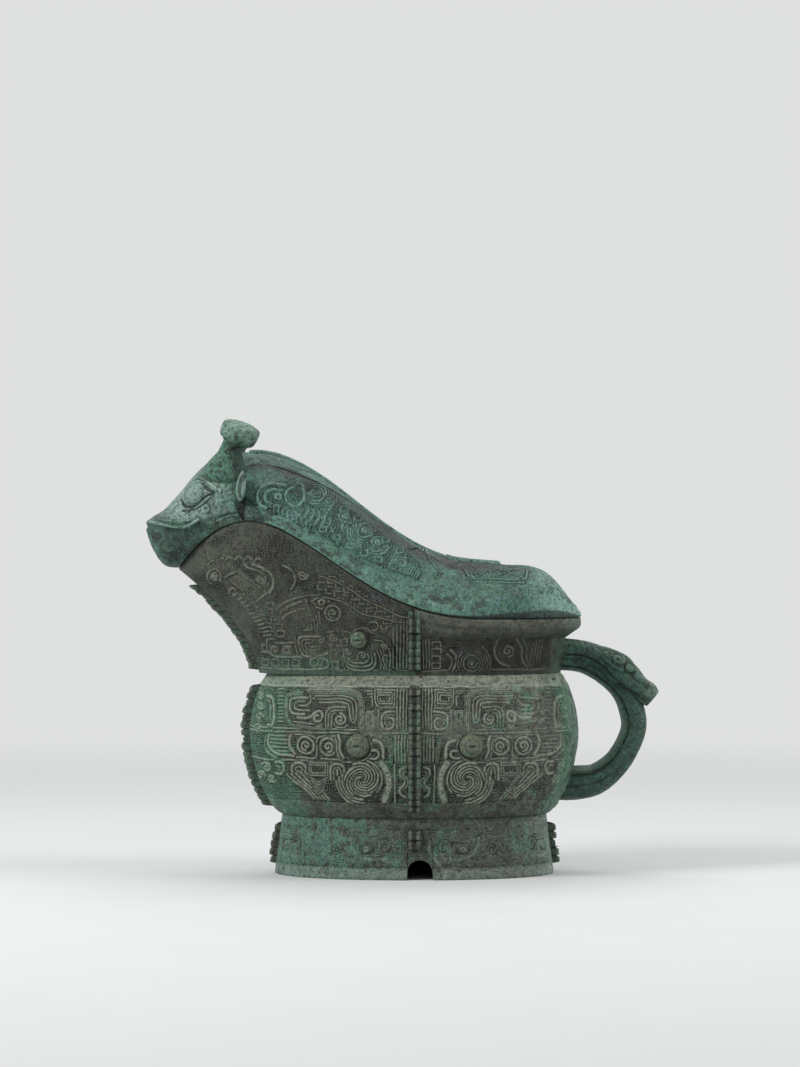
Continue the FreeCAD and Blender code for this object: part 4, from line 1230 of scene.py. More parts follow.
class FootWall:
    """Ring foot with a faint incised dragon band and the casting notch."""

    def __init__(self, levels: Levels) -> None:
        """Work out the wall and draw its relief."""
        self.levels = levels
        self.wall = Wall(levels, self.sizes, levels.foot_top / 2)
        left, right = float(self.wall.runs[-1]), float(self.wall.runs[0])
        self.board = Board(left - 1, right + 1, 0.0, levels.foot_top, same_place)
        self.draw()

    def sizes(self, z: Array) -> tuple:
        """Back, front, half width and front exponents."""
        share = np.asarray(z, float) / self.levels.foot_top
        length = mix(82.0, BASE_LENGTH, share)
        square = np.full(np.shape(length), self.levels.square)
        return length, length, mix(55.0, BASE_WIDTH, share), square, square

    def draw(self) -> None:
        """Draw a row of dragons facing the flanges, in thin sunk lines."""
        b = self.board
        reach = float(self.wall.runs[0])
        for z in (7.4, 29.0):
            b.cut([(s, z) for s in np.linspace(-reach, reach, 60)], 0.6, 0.4)
        dragon = (
            (b.band, [(4, 25), (30, 25), (44, 22), (50, 15), (45, 10), (36, 12)], (2.6, 0.35, (0.6,))),
            (b.band, [(30, 24), (28, 15), (18, 11), (8, 12)], (2.0, 0.3)),
            (b.cut, coil(9, 19, 5, 1.6, 0), ()),
            (b.cut, coil(38, 16.5, 4.2, 1.6, 180, -1), ()),
            (b.cut, soften([(14, 21), (24, 21), (24, 15), (16, 15), (16, 18)]), ()),
            (b.ribbon, arc(20, 17.5, 1.2, 0, 360, 8), (1.2, 0.5)),
        )
        for sign in (-1, 1):
            for start in (8.0, 66.0):
                for draw, points, sizes in dragon:
                    draw([(sign * (start + u), v) for u, v in points], *sizes)

    def build(self, side: Side) -> bpy.types.Object:
        """Build one side of the foot."""
        lv = self.levels
        every = 2
        runs = spaced(float(self.wall.runs[-1]), float(self.wall.runs[0]), 0.44, every)
        columns = self.wall.angle_of(runs)
        bottom = np.zeros_like(runs)
        if side is Side.NEAR:
            x_low, _ = self.wall.outline(columns, np.zeros_like(columns))
            across = np.abs(x_low - 4.5)
            bottom = np.where(across < 7.5, 4.0 + np.sqrt(np.clip(56.25 - across**2, 0, None)), 0.0)
        share = np.linspace(0, 1, 81)
        z = bottom[None, :] + (lv.foot_top - bottom)[None, :] * share[:, None]
        angle = np.broadcast_to(columns, z.shape)
        grid = self.wall.points(angle, z)
        x, y = grid[..., 0], grid[..., 1]
        s = self.wall.run_of(angle)
        cover, raised, incised, _ = self.board.read(s, z)
        fade, crust = weather(grid, side, 41, 0.5)
        band = smooth((z - 7.0) / 1.0) * (1 - smooth((z - 29.0) / 1.0))
        ground = thunder_ground(s, z, 5.8, 5.0, 1.5) * (1 - cover) * 0.8
        drawn = (ground + 0.55 * np.maximum(raised, 0) + np.minimum(raised, 0)) * band
        relief = (drawn - 0.8 * incised) * fade * 0.85
        edge = smooth(z / 1.2) if side is Side.FAR else smooth((z - bottom[None, :]) / 1.2)
        normal = -outward_of(grid)
        normal = normal * np.sign((normal[..., 1] * y).sum())
        scar = np.zeros_like(z)
        if side is Side.NEAR:
            wander = 10.5 + (19 - z) * 0.42 + 1.6 * np.sin(z * 0.3) + 0.8 * cloud(grid, 4.0, 43)
            scar = 0.9 * hill((x - wander) / 0.9) * smooth((24 - z) / 3)
        moved = grid + normal * (relief + crust + scar - 0.35 * (1 - edge))[..., None]
        inner = self.wall.points(angle[::every, ::every], z[::every, ::every], 4.0)
        moved, inner = mirrored(moved, side), mirrored(inner, side)
        # Paler bottom edge and scar; towards the handle end partly silver-grey patina and partly a painted
        # highlight.
        pale = 0.4 * (1 - smooth((z - 5.0) / 2.5)) + 0.4 * smooth((s - 55) / 40) + 0.4 * scar
        marks = marked(relief + 0.9 * crust, band)
        moss = 0.4 * smooth(-s / 60)
        return wall_piece(f"foot_wall_{side.value}", moved, inner, every, relief=marks, moss=moss, pale=pale)


class NeckWall:
    """Neck and spout with its dragons, and the plain collar round the back."""

    def __init__(self, levels: Levels) -> None:
        """Work out the wall and draw its relief."""
        self.levels = levels
        self.wall = Wall(levels, self.sizes, levels.rim)
        self.board = Board(float(self.wall.runs[-1]) - 1, 1.0, levels.neck - 1, levels.crest + 4, self.place)
        self.rear_board = Board(
            -1.0, float(self.wall.runs[0]) + 1, levels.neck - 1, levels.rim + 2, self.place
        )
        self.draw_front()
        self.draw_rear()

    def sizes(self, z: Array) -> tuple:
        """Back, front, half width and front exponents."""
        lv = self.levels
        z = np.asarray(z, float)
        rise = np.clip((z - lv.neck) / (lv.rim - lv.neck), 0, 1) ** 1.6
        share = np.clip((z - lv.neck) / (lv.tip - lv.neck), 0, 1)
        front = lv.mid_x + 90.0 + 47.0 * share**1.6
        turn = smooth(share * 1.25)
        back, width = mix(NECK_LENGTH, 92.0, rise), mix(NECK_WIDTH, 58.2, rise)
        return back, front, width, mix(2.1, 2.0, turn), mix(2.1, 1.75, turn)

    def place(self, points: Array) -> Array:
        """Wall places of drawing units."""
        x, z = from_side(points)
        return np.stack([self.wall.seen(x, z), z], 1)

    def draw_front(self) -> None:
        """Draw the dragon and bird of the spout's side."""
        b = self.board
        b.level(670.9, 258, 409, 0.9, 0.55)
        b.level(673.6, 258, 409, 0.9, 0.5)
        self.draw_mask()
        self.draw_crested_bird()
        self.draw_spout_tip()

    def draw_mask(self) -> None:
        """Draw the lower register with the shell under the boss, feathers and square spirals."""
        b = self.board
        b.band([
            (342.7, 647.9), (343.6, 656.4), (346.2, 666.2), (351.4, 670.5), (369.3, 670.7), (374.8, 667.1),
            (376.4, 660.0), (374.8, 653.8),
        ], 1.3, 0.66)
        b.band([(347.1, 662.7), (350.7, 667.1), (367.3, 667.3), (372.1, 663.6), (372.1, 658.2)], 1.2, 0.6)
        b.band([
            (348.3, 659.1), (352.0, 663.8), (365.3, 663.8), (368.8, 660.4), (368.4, 655.5), (363.9, 652.0),
        ], 1.1, 0.6)
        b.ribbon(coil(362.6, 656.2, 4.0, 1.3, 180), 1.0, 0.6)
        b.ribbon(coil(347.9, 652.0, 4.0, 1.3, 0), 1.0, 0.6)
        b.line([(353.2, 660.4), (358.6, 660.0), (357.7, 655.5)], 0.8)
        b.area(arc(361.8, 640.5, 9.6, 0, 345, 20), -0.3, 0.7, True)
        b.ribbon(arc(361.8, 640.5, 10.2, 150, 330, 16), 0.9, 0.5)
        for k in range(3):
            b.line([(377.0 + 3.2 * k, 651.0), (382.0 + 3.0 * k, 662.5), (380.5 + 3.2 * k, 670.0)], 0.8)
        b.band([
            (370.2, 635.9), (380.0, 636.8), (390.3, 639.9), (395.0, 649.3), (396.2, 662.7), (393.2, 670.3),
        ], 1.7, 0.6, (0.4,))
        b.line([(373.8, 640.4), (383.6, 641.7), (390.0, 649.3), (391.4, 660.9), (388.9, 668.0)], 0.8)
        b.ribbon(coil(384.9, 647.9, 3.6, 1.3, 200), 1.0, 0.5)
        b.band([(388.0, 656.4), (384.5, 654.6), (382.7, 659.1), (386.2, 665.4), (386.2, 669.8)], 1.0, 0.5)
        b.ribbon(coil(332.9, 637.5, 4.6, 1.25, 20), 1.1, 0.55)
        b.ribbon(coil(344.5, 641.4, 4.2, 1.25, 200, -1), 1.1, 0.55)
        b.ribbon(coil(320.6, 640.8, 4.4, 1.25, 200), 1.1, 0.55)
        b.line([(326.4, 632.5), (337.1, 631.4), (349.6, 632.5), (351.4, 635.9)], 0.8)
        b.line([(328.2, 645.7), (338.9, 646.4), (347.9, 645.7)], 0.8)
        b.band([
            (318.4, 636.6), (299.2, 637.0), (297.1, 643.0), (300.7, 656.0), (309.5, 658.2), (322.0, 656.9),
            (328.2, 652.9),
        ], 1.4, 0.58)
        b.line([(313.0, 639.9), (302.5, 640.2), (300.4, 643.9), (303.0, 653.3), (315.7, 654.6)], 0.8)
        b.line([
            (310.4, 643.0), (304.8, 643.5), (303.9, 646.2), (306.1, 650.9), (318.4, 651.2), (320.2, 647.5),
            (307.7, 647.1),
        ], 0.8)
        b.line([(294.1, 635.9), (293.6, 644.8), (297.0, 657.3), (293.4, 658.0), (280.0, 658.0)], 0.85)
        b.ribbon(arc(313.9, 663.4, 4.2, 0, 360, 16), 1.0, 0.55)
        b.band([
            (318.8, 659.3), (326.4, 660.0), (329.3, 665.2), (326.4, 670.4), (302.3, 670.7), (274.6, 670.5),
        ], 1.1, 0.55)
        b.band([(319.3, 666.7), (322.9, 664.5), (322.0, 662.2)], 1.0, 0.5)
        for k in range(4):
            b.thread(fret(263.0 + 10.6 * k, 664.4, 3.6, 3.4, 1, 1.7), 0.7)
        for x, y in ((333.6, 654.6), (334.5, 666.2), (263.5, 650.5)):
            b.thread(fret(x, y, 4.2, 4.2, 2, 1.6), 0.7)
        b.line([(330.9, 649.3), (330.0, 660.0), (333.6, 670.7)], 0.8)
        b.line([(338.0, 649.3), (341.6, 659.1), (344.3, 670.7)], 0.8)
        b.uprights((393.6, 397.0, 400.4, 403.8, 407.2), 620, 669)

    def draw_crested_bird(self) -> None:
        """Draw the middle of the neck: eye, ringed whorls, chevrons and long feathers."""
        b = self.board
        b.ribbon(arc(321.5, 602.9, 3.0, 0, 360, 12), 1.5, 0.6)
        b.line([
            (311.2, 601.8), (318.4, 596.8), (324.6, 597.1), (330.0, 602.0), (324.6, 608.7), (317.5, 607.3),
            (313.9, 603.8),
        ], 0.9, 0.55)
        b.line([(315.7, 607.3), (322.9, 610.0), (329.1, 604.6), (335.4, 604.2)], 0.9, 0.55)
        for x, y, r in ((332.6, 613.6, 7.6), (299.2, 602.9, 7.2), (384.0, 626.5, 5.4)):
            b.ribbon(arc(x, y, r, 0, 360, 24), 0.95, 0.55)
            b.ribbon(coil(x, y, 0.62 * r, 1.2, 90), 1.0, 0.55)
        for k in range(5):
            b.line([
                (288.6 + 1.8 * k, 611.3 + 2.3 * k), (299.0 + k, 607.6 + 2.4 * k),
                (307.0 + 1.2 * k, 604.6 + 2.6 * k),
            ], 0.8, 0.5)
        for k in range(4):
            x, y = 318.5 - 2.6 * k, 612.0 + 4.2 * k
            b.thread([(x, y), (x + 1.0, y + 12.0 - 2.2 * k), (x - 10.5 + k, y + 13.0 - 2.2 * k)], 0.75, 0.5)
        for k in range(6):
            shift = 2.7 * k
            line = [
                (274.0 - 0.4 * shift, 602.0 + shift), (283.0, 593.0 + 0.8 * shift),
                (295.0 + 0.5 * shift, 586.0 + 0.7 * shift), (308.0 + shift, 590.0 + 0.4 * shift),
            ]
            b.line(line, 0.8, 0.5)
        b.band([(369.3, 630.7), (376.4, 630.5), (378.6, 625.2), (374.6, 621.6), (370.2, 622.5)], 1.1, 0.5)
        b.ribbon(arc(384.0, 626.5, 3.4, 0, 360, 14), 1.0, 0.5)
        b.line([(353.2, 632.5), (358.6, 628.8), (365.7, 627.9), (372.9, 634.1)], 0.9)
        for k in range(9):
            x = 322.0 + 8.2 * k
            y = 586.0 + 4.3 * k
            b.thread(fret(x, y, 4.4, 3.6, 1, 1.9), 0.75, 0.42)
            b.thread(fret(x + 9.5, y - 6.2 + 1.2 * k / 2, 4.2, 3.4, 1, 1.9, -1), 0.75, 0.42)
        b.line([(318, 576), (336, 581), (352, 591), (372, 603), (396, 615), (409, 618)], 0.8, 0.45)
        b.line([(322, 598), (338, 600), (352, 607), (366, 616), (380, 618), (396, 622)], 0.8, 0.45)
        b.band([(286, 556), (300, 560), (312, 570), (314, 582), (306, 590), (297, 586)], 1.6, 0.55, (0.35,))
        b.ribbon(coil(302.5, 575.0, 5.2, 1.4, 0), 1.1, 0.5)
        b.line([(282, 566), (292, 570), (296, 580), (290, 590)], 0.8)

    def draw_spout_tip(self) -> None:
        """Draw the whorl, hairpins and diamond under the spout, and the barbs along its edge."""
        b = self.board
        b.ribbon(coil(211.8, 577.7, 5.2, 1.7, 160), 1.0, 0.6)
        b.thread(arc(211.8, 577.7, 7.6, 120, 400, 20), 0.8, 0.5)
        for k in range(5):
            inner = 2.05 * k
            line = [
                (252.5 - 1.1 * inner, 603.5 - 0.1 * inner), (232.0 + 0.1 * inner, 586.0 + 0.55 * inner),
                (226.5 + 0.6 * inner, 581.0 + 0.85 * inner), (221.5 + 0.7 * inner, 583.5 + 0.9 * inner),
                (222.5 + 0.5 * inner, 588.5 + 0.8 * inner),
            ]
            b.line(line, 0.85, 0.55)
        for k in range(8):
            b.thread([(224.6 + 1.9 * k, 577.6 - 1.0 * k), (252.0 + 1.9 * k, 603.0 - 1.4 * k)], 0.75, 0.5)
        b.thread([(223.1, 578.7), (235.3, 571.8), (265.9, 593.7), (251.6, 603.9)], 0.85, 0.55)
        b.band([
            (249.6, 558.8), (251.6, 564.9), (261.8, 568.0), (271.0, 575.1), (273.1, 585.3), (268.0, 593.5),
        ], 1.3, 0.55)
        b.line([(241.4, 560.8), (245.5, 568.0), (257.8, 571.0), (265.9, 577.1), (266.9, 585.3)], 0.8, 0.5)
        b.ribbon(coil(259.8, 580.2, 4.8, 1.5, 300), 1.0, 0.5)
        for k in range(13):
            t = k / 12
            x, y = mix(231.0, 264.5, t**0.8), mix(597.0, 641.0, t)
            b.thread([(x, y), (x + mix(3.4, 9.5, t), y - mix(2.6, 0.8, t))], 0.85, 0.5)
        for k in range(11):
            t = k / 10
            x, y = mix(240.0, 272.5, t**0.8), mix(594.0, 637.0, t)
            b.thread([(x, y), (x + mix(3.0, 7.5, t), y + mix(1.8, 1.2, t))], 0.75, 0.45)
        b.band([(273.1, 622.0), (281.2, 611.8), (290.4, 605.7), (301.6, 601.6)], 1.1, 0.5)
        b.band([(272.0, 628.2), (282.2, 618.0), (292.4, 611.8), (302.7, 608.8)], 1.1, 0.5)
        for k in range(5):
            b.thread(fret(269.0 + 2.6 * k, 606.0 + 7.2 * k, 4.0, 3.0, 1, 1.7), 0.75, 0.45)
        b.thread([(273.1, 644.0), (294.5, 644.0)], 0.8)
        b.ribbon(coil(273.3, 651.6, 4.8, 1.3, 90), 1.1, 0.5)
        b.band([(265.9, 640.4), (264.9, 651.6), (270.0, 657.2), (280.2, 659.0), (300.6, 658.0)], 1.1, 0.55)
        b.thread(fret(285.3, 651.6, 4.6, 4.2, 2, 1.8), 0.75)
        for k in range(6):
            b.line([
                (204.0 + 9.5 * k, 566.0 - 3.4 * k + 0.5 * k * k),
                (209.0 + 9.5 * k, 560.5 - 3.2 * k + 0.5 * k * k),
                (213.0 + 9.5 * k, 564.0 - 3.0 * k + 0.5 * k * k),
            ], 0.8, 0.45)

    def draw_rear(self) -> None:
        """Draw the dragon between the side flange and the handle."""
        b = self.rear_board
        b.level(671.2, 422, 548, 0.9, 0.5)
        b.level(674.0, 422, 548, 0.8, 0.4)
        b.level(637.5, 422, 556, 0.8, 0.4)
        b.uprights((422.8, 426.0, 429.2), 640, 669)
        b.band([
            (443.5, 650.2), (447.5, 644.8), (456.9, 643.5), (463.6, 648.8), (463.6, 656.9), (456.9, 659.6),
        ], 1.4, 0.55, (0.3,))
        b.band([(450.2, 650.2), (456.2, 656.2), (456.9, 663.6), (452.9, 670.9)], 1.4, 0.55)
        b.line([(446.2, 654.2), (451.5, 658.2), (452.2, 664.9), (448.8, 670.3)], 0.8)
        b.ribbon(arc(471.9, 663.6, 8.2, 0, 360, 24), 1.0, 0.55)
        b.ribbon(coil(471.9, 663.6, 5.4, 1.3, 0), 1.1, 0.6)
        b.ribbon(arc(471.9, 663.6, 1.4, 0, 360, 8), 1.2, 0.7)
        for k, r in enumerate((11.2, 13.8, 16.4, 19.0)):
            b.thread(arc(471.9, 663.6, r, -75 + 6 * k, 60 - 4 * k, 14), 0.85, 0.5)
        for k, r in enumerate((11.2, 13.8)):
            b.thread(arc(471.9, 663.6, r, 150, 235, 10), 0.85, 0.5)
        b.band([(498, 640), (494, 652), (500, 664), (510, 668)], 1.3, 0.55)
        b.ribbon(coil(508.5, 652.0, 6.4, 1.5, 90, -1), 1.1, 0.55)
        b.band([(518, 641), (524, 650), (521, 660), (528, 668)], 1.3, 0.55)
        b.line([(523, 640), (529, 649), (526, 659), (533, 668)], 0.8)
        for k in range(4):
            b.thread([(531 + 3.4 * k, 668 - 2 * k), (535 + 3.2 * k, 645 - 2 * k)], 0.8, 0.45)
        for k in range(4):
            b.thread(fret(436.5, 645.5 + 6.8 * k, 4.4, 2.8, 1, 1.6), 0.7)

    def profile(self, columns: Array, end: End, every: int) -> Array:
        """Smooth outer grid of one quarter on the near side."""
        lv = self.levels
        if end is End.SPOUT:
            top = np.full(columns.shape, lv.crest)
            for _ in range(40):
                x, _ = self.wall.outline(columns, top)
                top = mix(top, lv.rim_height(x), 0.6)
            share = np.linspace(0, 1, 26 * every + 1)
            z = lv.neck + (top - lv.neck)[None, :] * share[:, None]
            angle = np.broadcast_to(columns, z.shape)
            return self.wall.points(angle, z)
        heights = spaced(lv.neck, lv.rim - 12.0, 0.4, 1)
        rows = [self.wall.points(columns, np.full(columns.shape, z)) for z in heights]
        square = 2 / lv.square
        cosine, sine = np.abs(np.cos(columns)) ** square, np.abs(np.sin(columns)) ** square
        top_z = lv.rim_height(lv.mid_x + RIM_LENGTH * cosine)

        def rim_row(drop: float, inset: float) -> Array:
            """Points of the rim's band, some way under its top edge."""
            x = lv.mid_x + (RIM_LENGTH - inset) * cosine
            return np.stack([x, (inset - RIM_WIDTH) * sine, top_z - drop], 1)

        neck_end = rows[-1]
        under = rim_row(6.6, 1.3)
        for t in np.linspace(0, 1, 16)[1:]:
            rows.append(mix(neck_end, under, smooth(t) * 0.25 + t * 0.75))
        for drop, inset in zip(np.linspace(6.6, 0.0, 14)[1:], RIM_INSETS):
            rows.append(rim_row(drop, inset))
        spare = (len(rows) - 1) % every
        return np.array([rows[0]] + rows[1 + spare :])

    def build(self, side: Side, end: End) -> bpy.types.Object:
        """Build one quarter of the neck."""
        lv = self.levels
        every = 6
        last = self.wall.runs[0] if end is End.HANDLE else self.wall.runs[-1]
        columns = self.wall.angle_of(spaced(0.0, float(last), 0.4, every))
        grid = self.profile(columns, end, every)
        x, y, z = grid[..., 0], grid[..., 1], grid[..., 2]
        s = np.broadcast_to(self.wall.run_of(columns), z.shape)
        placed = grid * (1, side.sign * -1, 1)
        s_bent, h_bent = distort(s, z, placed, 23)
        board = self.board if end is End.SPOUT else self.rear_board
        cover, raised, incised, lift = board.read(s_bent, h_bent)
        if end is End.SPOUT:
            rim = lv.rim_height(x)
            field_share = smooth((z - lv.neck - 1.5) / 1.2) * (1 - smooth((z - rim + 4.5) / 1.5))
            plain = smooth((-s - (float(-last) - 5.0)) / 2.0)
        else:
            field_share = smooth((z - lv.neck - 1.5) / 1.2) * (1 - smooth((z - 138.5) / 1.2))
            plain = smooth((s - (float(last) - 26.0 - 0.3 * (z - lv.neck))) / 2.2)
        ground = 1.15 * thunder_ground(s_bent, h_bent, 5.9, 5.1, 1.5) * (1 - cover)
        if end is End.SPOUT:
            wash = smooth(clouds(placed, 14.0, 27) * 1.6 + 0.75 - smooth((z - rim + 24) / 14) * 0.8)
            ground = ground * (0.25 + 0.75 * wash)
        fade, crust = weather(grid, side, 31, 0.3 + 0.3 * (end is End.HANDLE))
        relief = (ground + raised - incised + lift) * field_share * (1 - plain) * fade * 1.1
        normal = outward_of(grid)
        normal = normal * np.sign((normal[..., 1] * y).sum())
        moved = grid + normal * (relief + crust * 0.8)[..., None]
        low = grid[::every, ::every]
        inner_z = np.clip(low[..., 2], lv.neck, None)
        inner = self.wall.points(np.broadcast_to(columns[::every], inner_z.shape), inner_z, WALL)
        # The inner edge tucks under the belly's wall, so that no slit shows between the two
        reach = lv.mid_x - inner[0, :, 0]
        inner[0, :, 0] = lv.mid_x - np.where(reach > 0, reach * TUCK_SHARE, reach)
        inner[0, :, 2] -= TUCK_DROP
        moved, inner = mirrored(moved, side), mirrored(inner, side)
        patch = smooth((s - (float(last) - 38.0)) / 24.0) * (end is End.HANDLE)
        moss = 0.5 * smooth((135 - z) / 14) * (end is End.SPOUT) + 0.7 * patch
        # Painted highlight: a lighter line along the rim's top edge.
        rim_pale = smooth((z - lv.rim_height(x) + 1.6) / 1.2)
        # Painted shade: the lower rear of the neck, towards the handle, is darkened.
        shaded_zone = smooth((x - 12) / 25) * (1 - smooth((z - 137) / 3)) * (1 - patch)
        rear = 0.22 * smooth((z - 139) / 5) - 0.6 * shaded_zone
        # Painted shade: the top 0.75 mm of the rim is darkened, deepening the joint under the cover.
        pale = 0.35 * rim_pale - 1.3 * smooth((z - lv.rim_height(x) + 0.75) / 0.3)
        pale = pale + (rear if end is End.HANDLE else 0.1 * smooth((-x - 70) / 50))
        name = f"neck_{end.value}_{side.value}"
        marks = marked(relief + 0.8 * crust, field_share * (1 - plain))
        return wall_piece(name, moved, inner, every, relief=marks, moss=moss, pale=pale)


class CoverRoof:
    """Saddle-shaped cover behind the head, with panels on its sides and masks on its back."""

    fan_x = 58.0

    def __init__(self, levels: Levels) -> None:
        """Work out the roof and draw its relief."""
        self.levels = levels
        self.front_x = SEAM_X
        self.back_x = levels.mid_x + RIM_LENGTH
        xs = np.linspace(self.front_x - 2, self.back_x, 240)
        shares = np.linspace(0, 1, 121)
        gx, gv = np.meshgrid(xs, shares)
        gz = self.surface(gx, gv * levels.roof_half_width(gx))
        gy = gv * levels.roof_half_width(gx)
        run = np.zeros_like(gx)
        run[1:] = np.cumsum(np.hypot(np.diff(gy, axis=0), np.diff(gz, axis=0)), 0)
        self.table = (xs, shares, gz, run)
        self.board = Board(self.front_x - 2, self.back_x + 1, -1.0, 75.0, self.place)
        self.draw()

    def surface(self, x: Array, y: Array) -> Array:
        """Height of the roof over the plan."""
        lv = self.levels
        base = lv.rim_height(x) + 2.0
        rise = np.maximum(lv.spine_height(x) - base, 0.0)
        power = mix(1.7, 2.4, smooth((x + 45.0) / 97.0))
        share = np.clip(np.abs(y) / np.maximum(lv.roof_half_width(x), 1e-3), 0, 1)
        return base + rise * (1 - share**power)

    def across(self, x: Array, y: Array) -> Array:
        """Distance over the roof from its spine."""
        xs, shares, _, run = self.table
        share = np.clip(np.abs(y) / np.maximum(self.levels.roof_half_width(x), 1e-3), 0, 1)
        i = np.clip((x - xs[0]) / (xs[1] - xs[0]), 0, len(xs) - 1.001)
        j = np.clip(share * 120, 0, 119.999)
        a, b = i.astype(int), j.astype(int)
        fa, fb = i - a, j - b
        return mix(mix(run[b, a], run[b, a + 1], fa), mix(run[b + 1, a], run[b + 1, a + 1], fa), fb)

    def place(self, points: Array) -> Array:
        """Roof places of drawing units, seen from the side."""
        xs, shares, gz, run = self.table
        x, z = from_side(points, ROOF_UNIT)
        found = []
        for px, pz in zip(x, z):
            i = int(np.clip(np.searchsorted(xs, px), 0, len(xs) - 1))
            found.append((px, float(np.interp(-pz, -gz[:, i], run[:, i]))))
        return np.array(found)

    def draw(self) -> None:
        """Draw the side panel and the masks of the back."""
        self.draw_panel()
        self.draw_back()

    def draw_panel(self) -> None:
        """Draw the raised panel with its volutes, spirals and frets, and the border over it."""
        b = self.board
        x = np.linspace(-88.0, 4.5, 24)
        lines = [self.levels.rim_height(x) + curve_through(edge, x) for edge in (PANEL_UPPER, PANEL_LOWER)]
        across = (x - VIEW_X) / ROOF_UNIT + DRAWN_X
        rows = [np.stack([across, DRAWN_Y - (z - VIEW_Z) / ROOF_UNIT], 1) for z in lines]
        outline = [tuple(p) for p in np.concatenate([rows[0], rows[1][::-1]])]
        b.area(outline, 0.9, 0.6)
        strip = [
            (277.4, 466.9), (308.9, 478.3), (342.6, 496.4), (382.6, 523.8), (424.7, 552.6), (441.6, 563.2),
        ]
        b.cut(soften(strip), 0.9, 0.8)
        self.strip = self.place(np.array(strip))
        b.cut(soften([
            (290.0, 465.7), (315.3, 474.1), (348.9, 492.6), (388.9, 520.0), (428.9, 547.4),
        ]), 0.7, 0.5)
        b.band([
            (284.7, 485.9), (266.8, 483.8), (257.6, 489.3), (256.3, 498.9), (262.6, 507.8), (277.4, 509.5),
        ], 2.0, 0.75)
        b.band([(282.0, 491.4), (270.6, 490.1), (264.7, 495.2), (265.6, 502.7), (275.3, 505.3)], 1.5, 0.7)
        b.ribbon(arc(277.4, 497.9, 2.6, 0, 360, 10), 1.6, 0.8)
        b.band([(292.1, 488.4), (284.7, 492.6), (284.7, 503.2), (294.2, 507.8)], 1.2, 0.6)
        b.band([(290.0, 480.0), (301.6, 484.2), (304.7, 496.8), (298.4, 507.4)], 1.2, 0.6)
        for k in range(9):
            b.thread(fret(271.0 + 4.6 * k, 507.8 + 1.2 * k + 0.12 * k * k, 1.9, 3.2, 1, 1.5), 0.65, 0.45)
        for r in (10.6, 7.8):
            b.ribbon(arc(315.3, 495.2, r, -110, 120, 20), 1.2, 0.68)
        b.ribbon(coil(312.7, 494.7, 5.0, 1.4, 0), 1.2, 0.68)
        for k in range(4):
            b.thread(arc(315.3, 495.2, 13.4 + 2.5 * k, -20 + 6 * k, 75 - 4 * k, 12), 0.8, 0.5)
        b.band([(308.9, 513.7), (320.5, 517.9), (332.1, 530.5), (337.4, 545.3)], 1.4, 0.6)
        for k in range(5):
            b.line([
                (304 + 5.0 * k, 519.5 + 3.4 * k), (309 + 5.0 * k, 513.5 + 3.2 * k),
                (308 + 5.4 * k, 507.5 + 3.0 * k),
            ], 0.8, 0.5)
        for x, y, r, hand in (
            (347.0, 529.5, 5.6, 1), (363.8, 532.4, 7.2, -1), (376.5, 543.5, 5.4, 1), (343.0, 519.0, 4.6, -1)
        ):
            b.ribbon(arc(x, y, r, 0, 360, 22), 0.95, 0.6)
            b.ribbon(coil(x, y, 0.62 * r, 1.2, 40, hand), 1.1, 0.62)
        for k in range(4):
            b.thread(arc(363.8, 532.4, 9.8 + 2.5 * k, 100, 215 - 8 * k, 14), 0.8, 0.5)
        for k in range(3):
            b.thread(arc(376.5, 543.5, 8.0 + 2.5 * k, 20, 140, 12), 0.8, 0.5)
        for k in range(12):
            b.thread([(389.0 + 2.5 * k, 568.0 + 1.0 * k), (395.0 + 2.3 * k, 555.5 + 1.5 * k)], 0.75, 0.5)
        b.thread(fret(399.5, 563.5, 5.4, 4.4, 2, 2.0), 0.75, 0.6)
        for px, py in rows[0][8:21:2]:
            b.thread(fret(px, py + 4.8, 3.4, 2.4, 1, 1.5), 0.7, 0.42)
        for px, py in rows[1][9:21:2]:
            b.thread(fret(px, py - 4.4, 3.4, 2.4, 1, 1.5), 0.7, 0.4)

    def draw_back(self) -> None:
        """Draw the angular masks on the level part of the cover."""
        b = self.board
        for first, second, third in (
            ((410, 549), (426, 547.5), (430, 560)),
            ((454, 560), (459, 563.5), (469, 577)),
            ((464, 562), (478, 577), (487, 571)),
            ((504, 571), (526, 579), (528, 571)),
            ((535, 574), (546, 578), (536, 581)),
            ((430, 560), (441, 573), (453, 565)),
            ((489, 566), (500, 575), (512, 570)),
        ):
            b.ribbon([first, second, third], 1.3, 0.6)
            b.cut([
                (first[0] + 3, first[1] + 0.6), (second[0], second[1] - 0.2), (third[0] - 2, third[1] + 0.4),
            ], 0.6, 0.5)
            b.ribbon(arc(second[0] - 4, second[1] + 2.4, 2.2, 0, 360, 10), 0.8, 0.45)
        b.thread([(462, 578.6), (486, 579), (520, 580)], 0.9, 0.5)
        b.thread([(470, 582), (500, 582.5), (524, 583)], 0.9, 0.5)

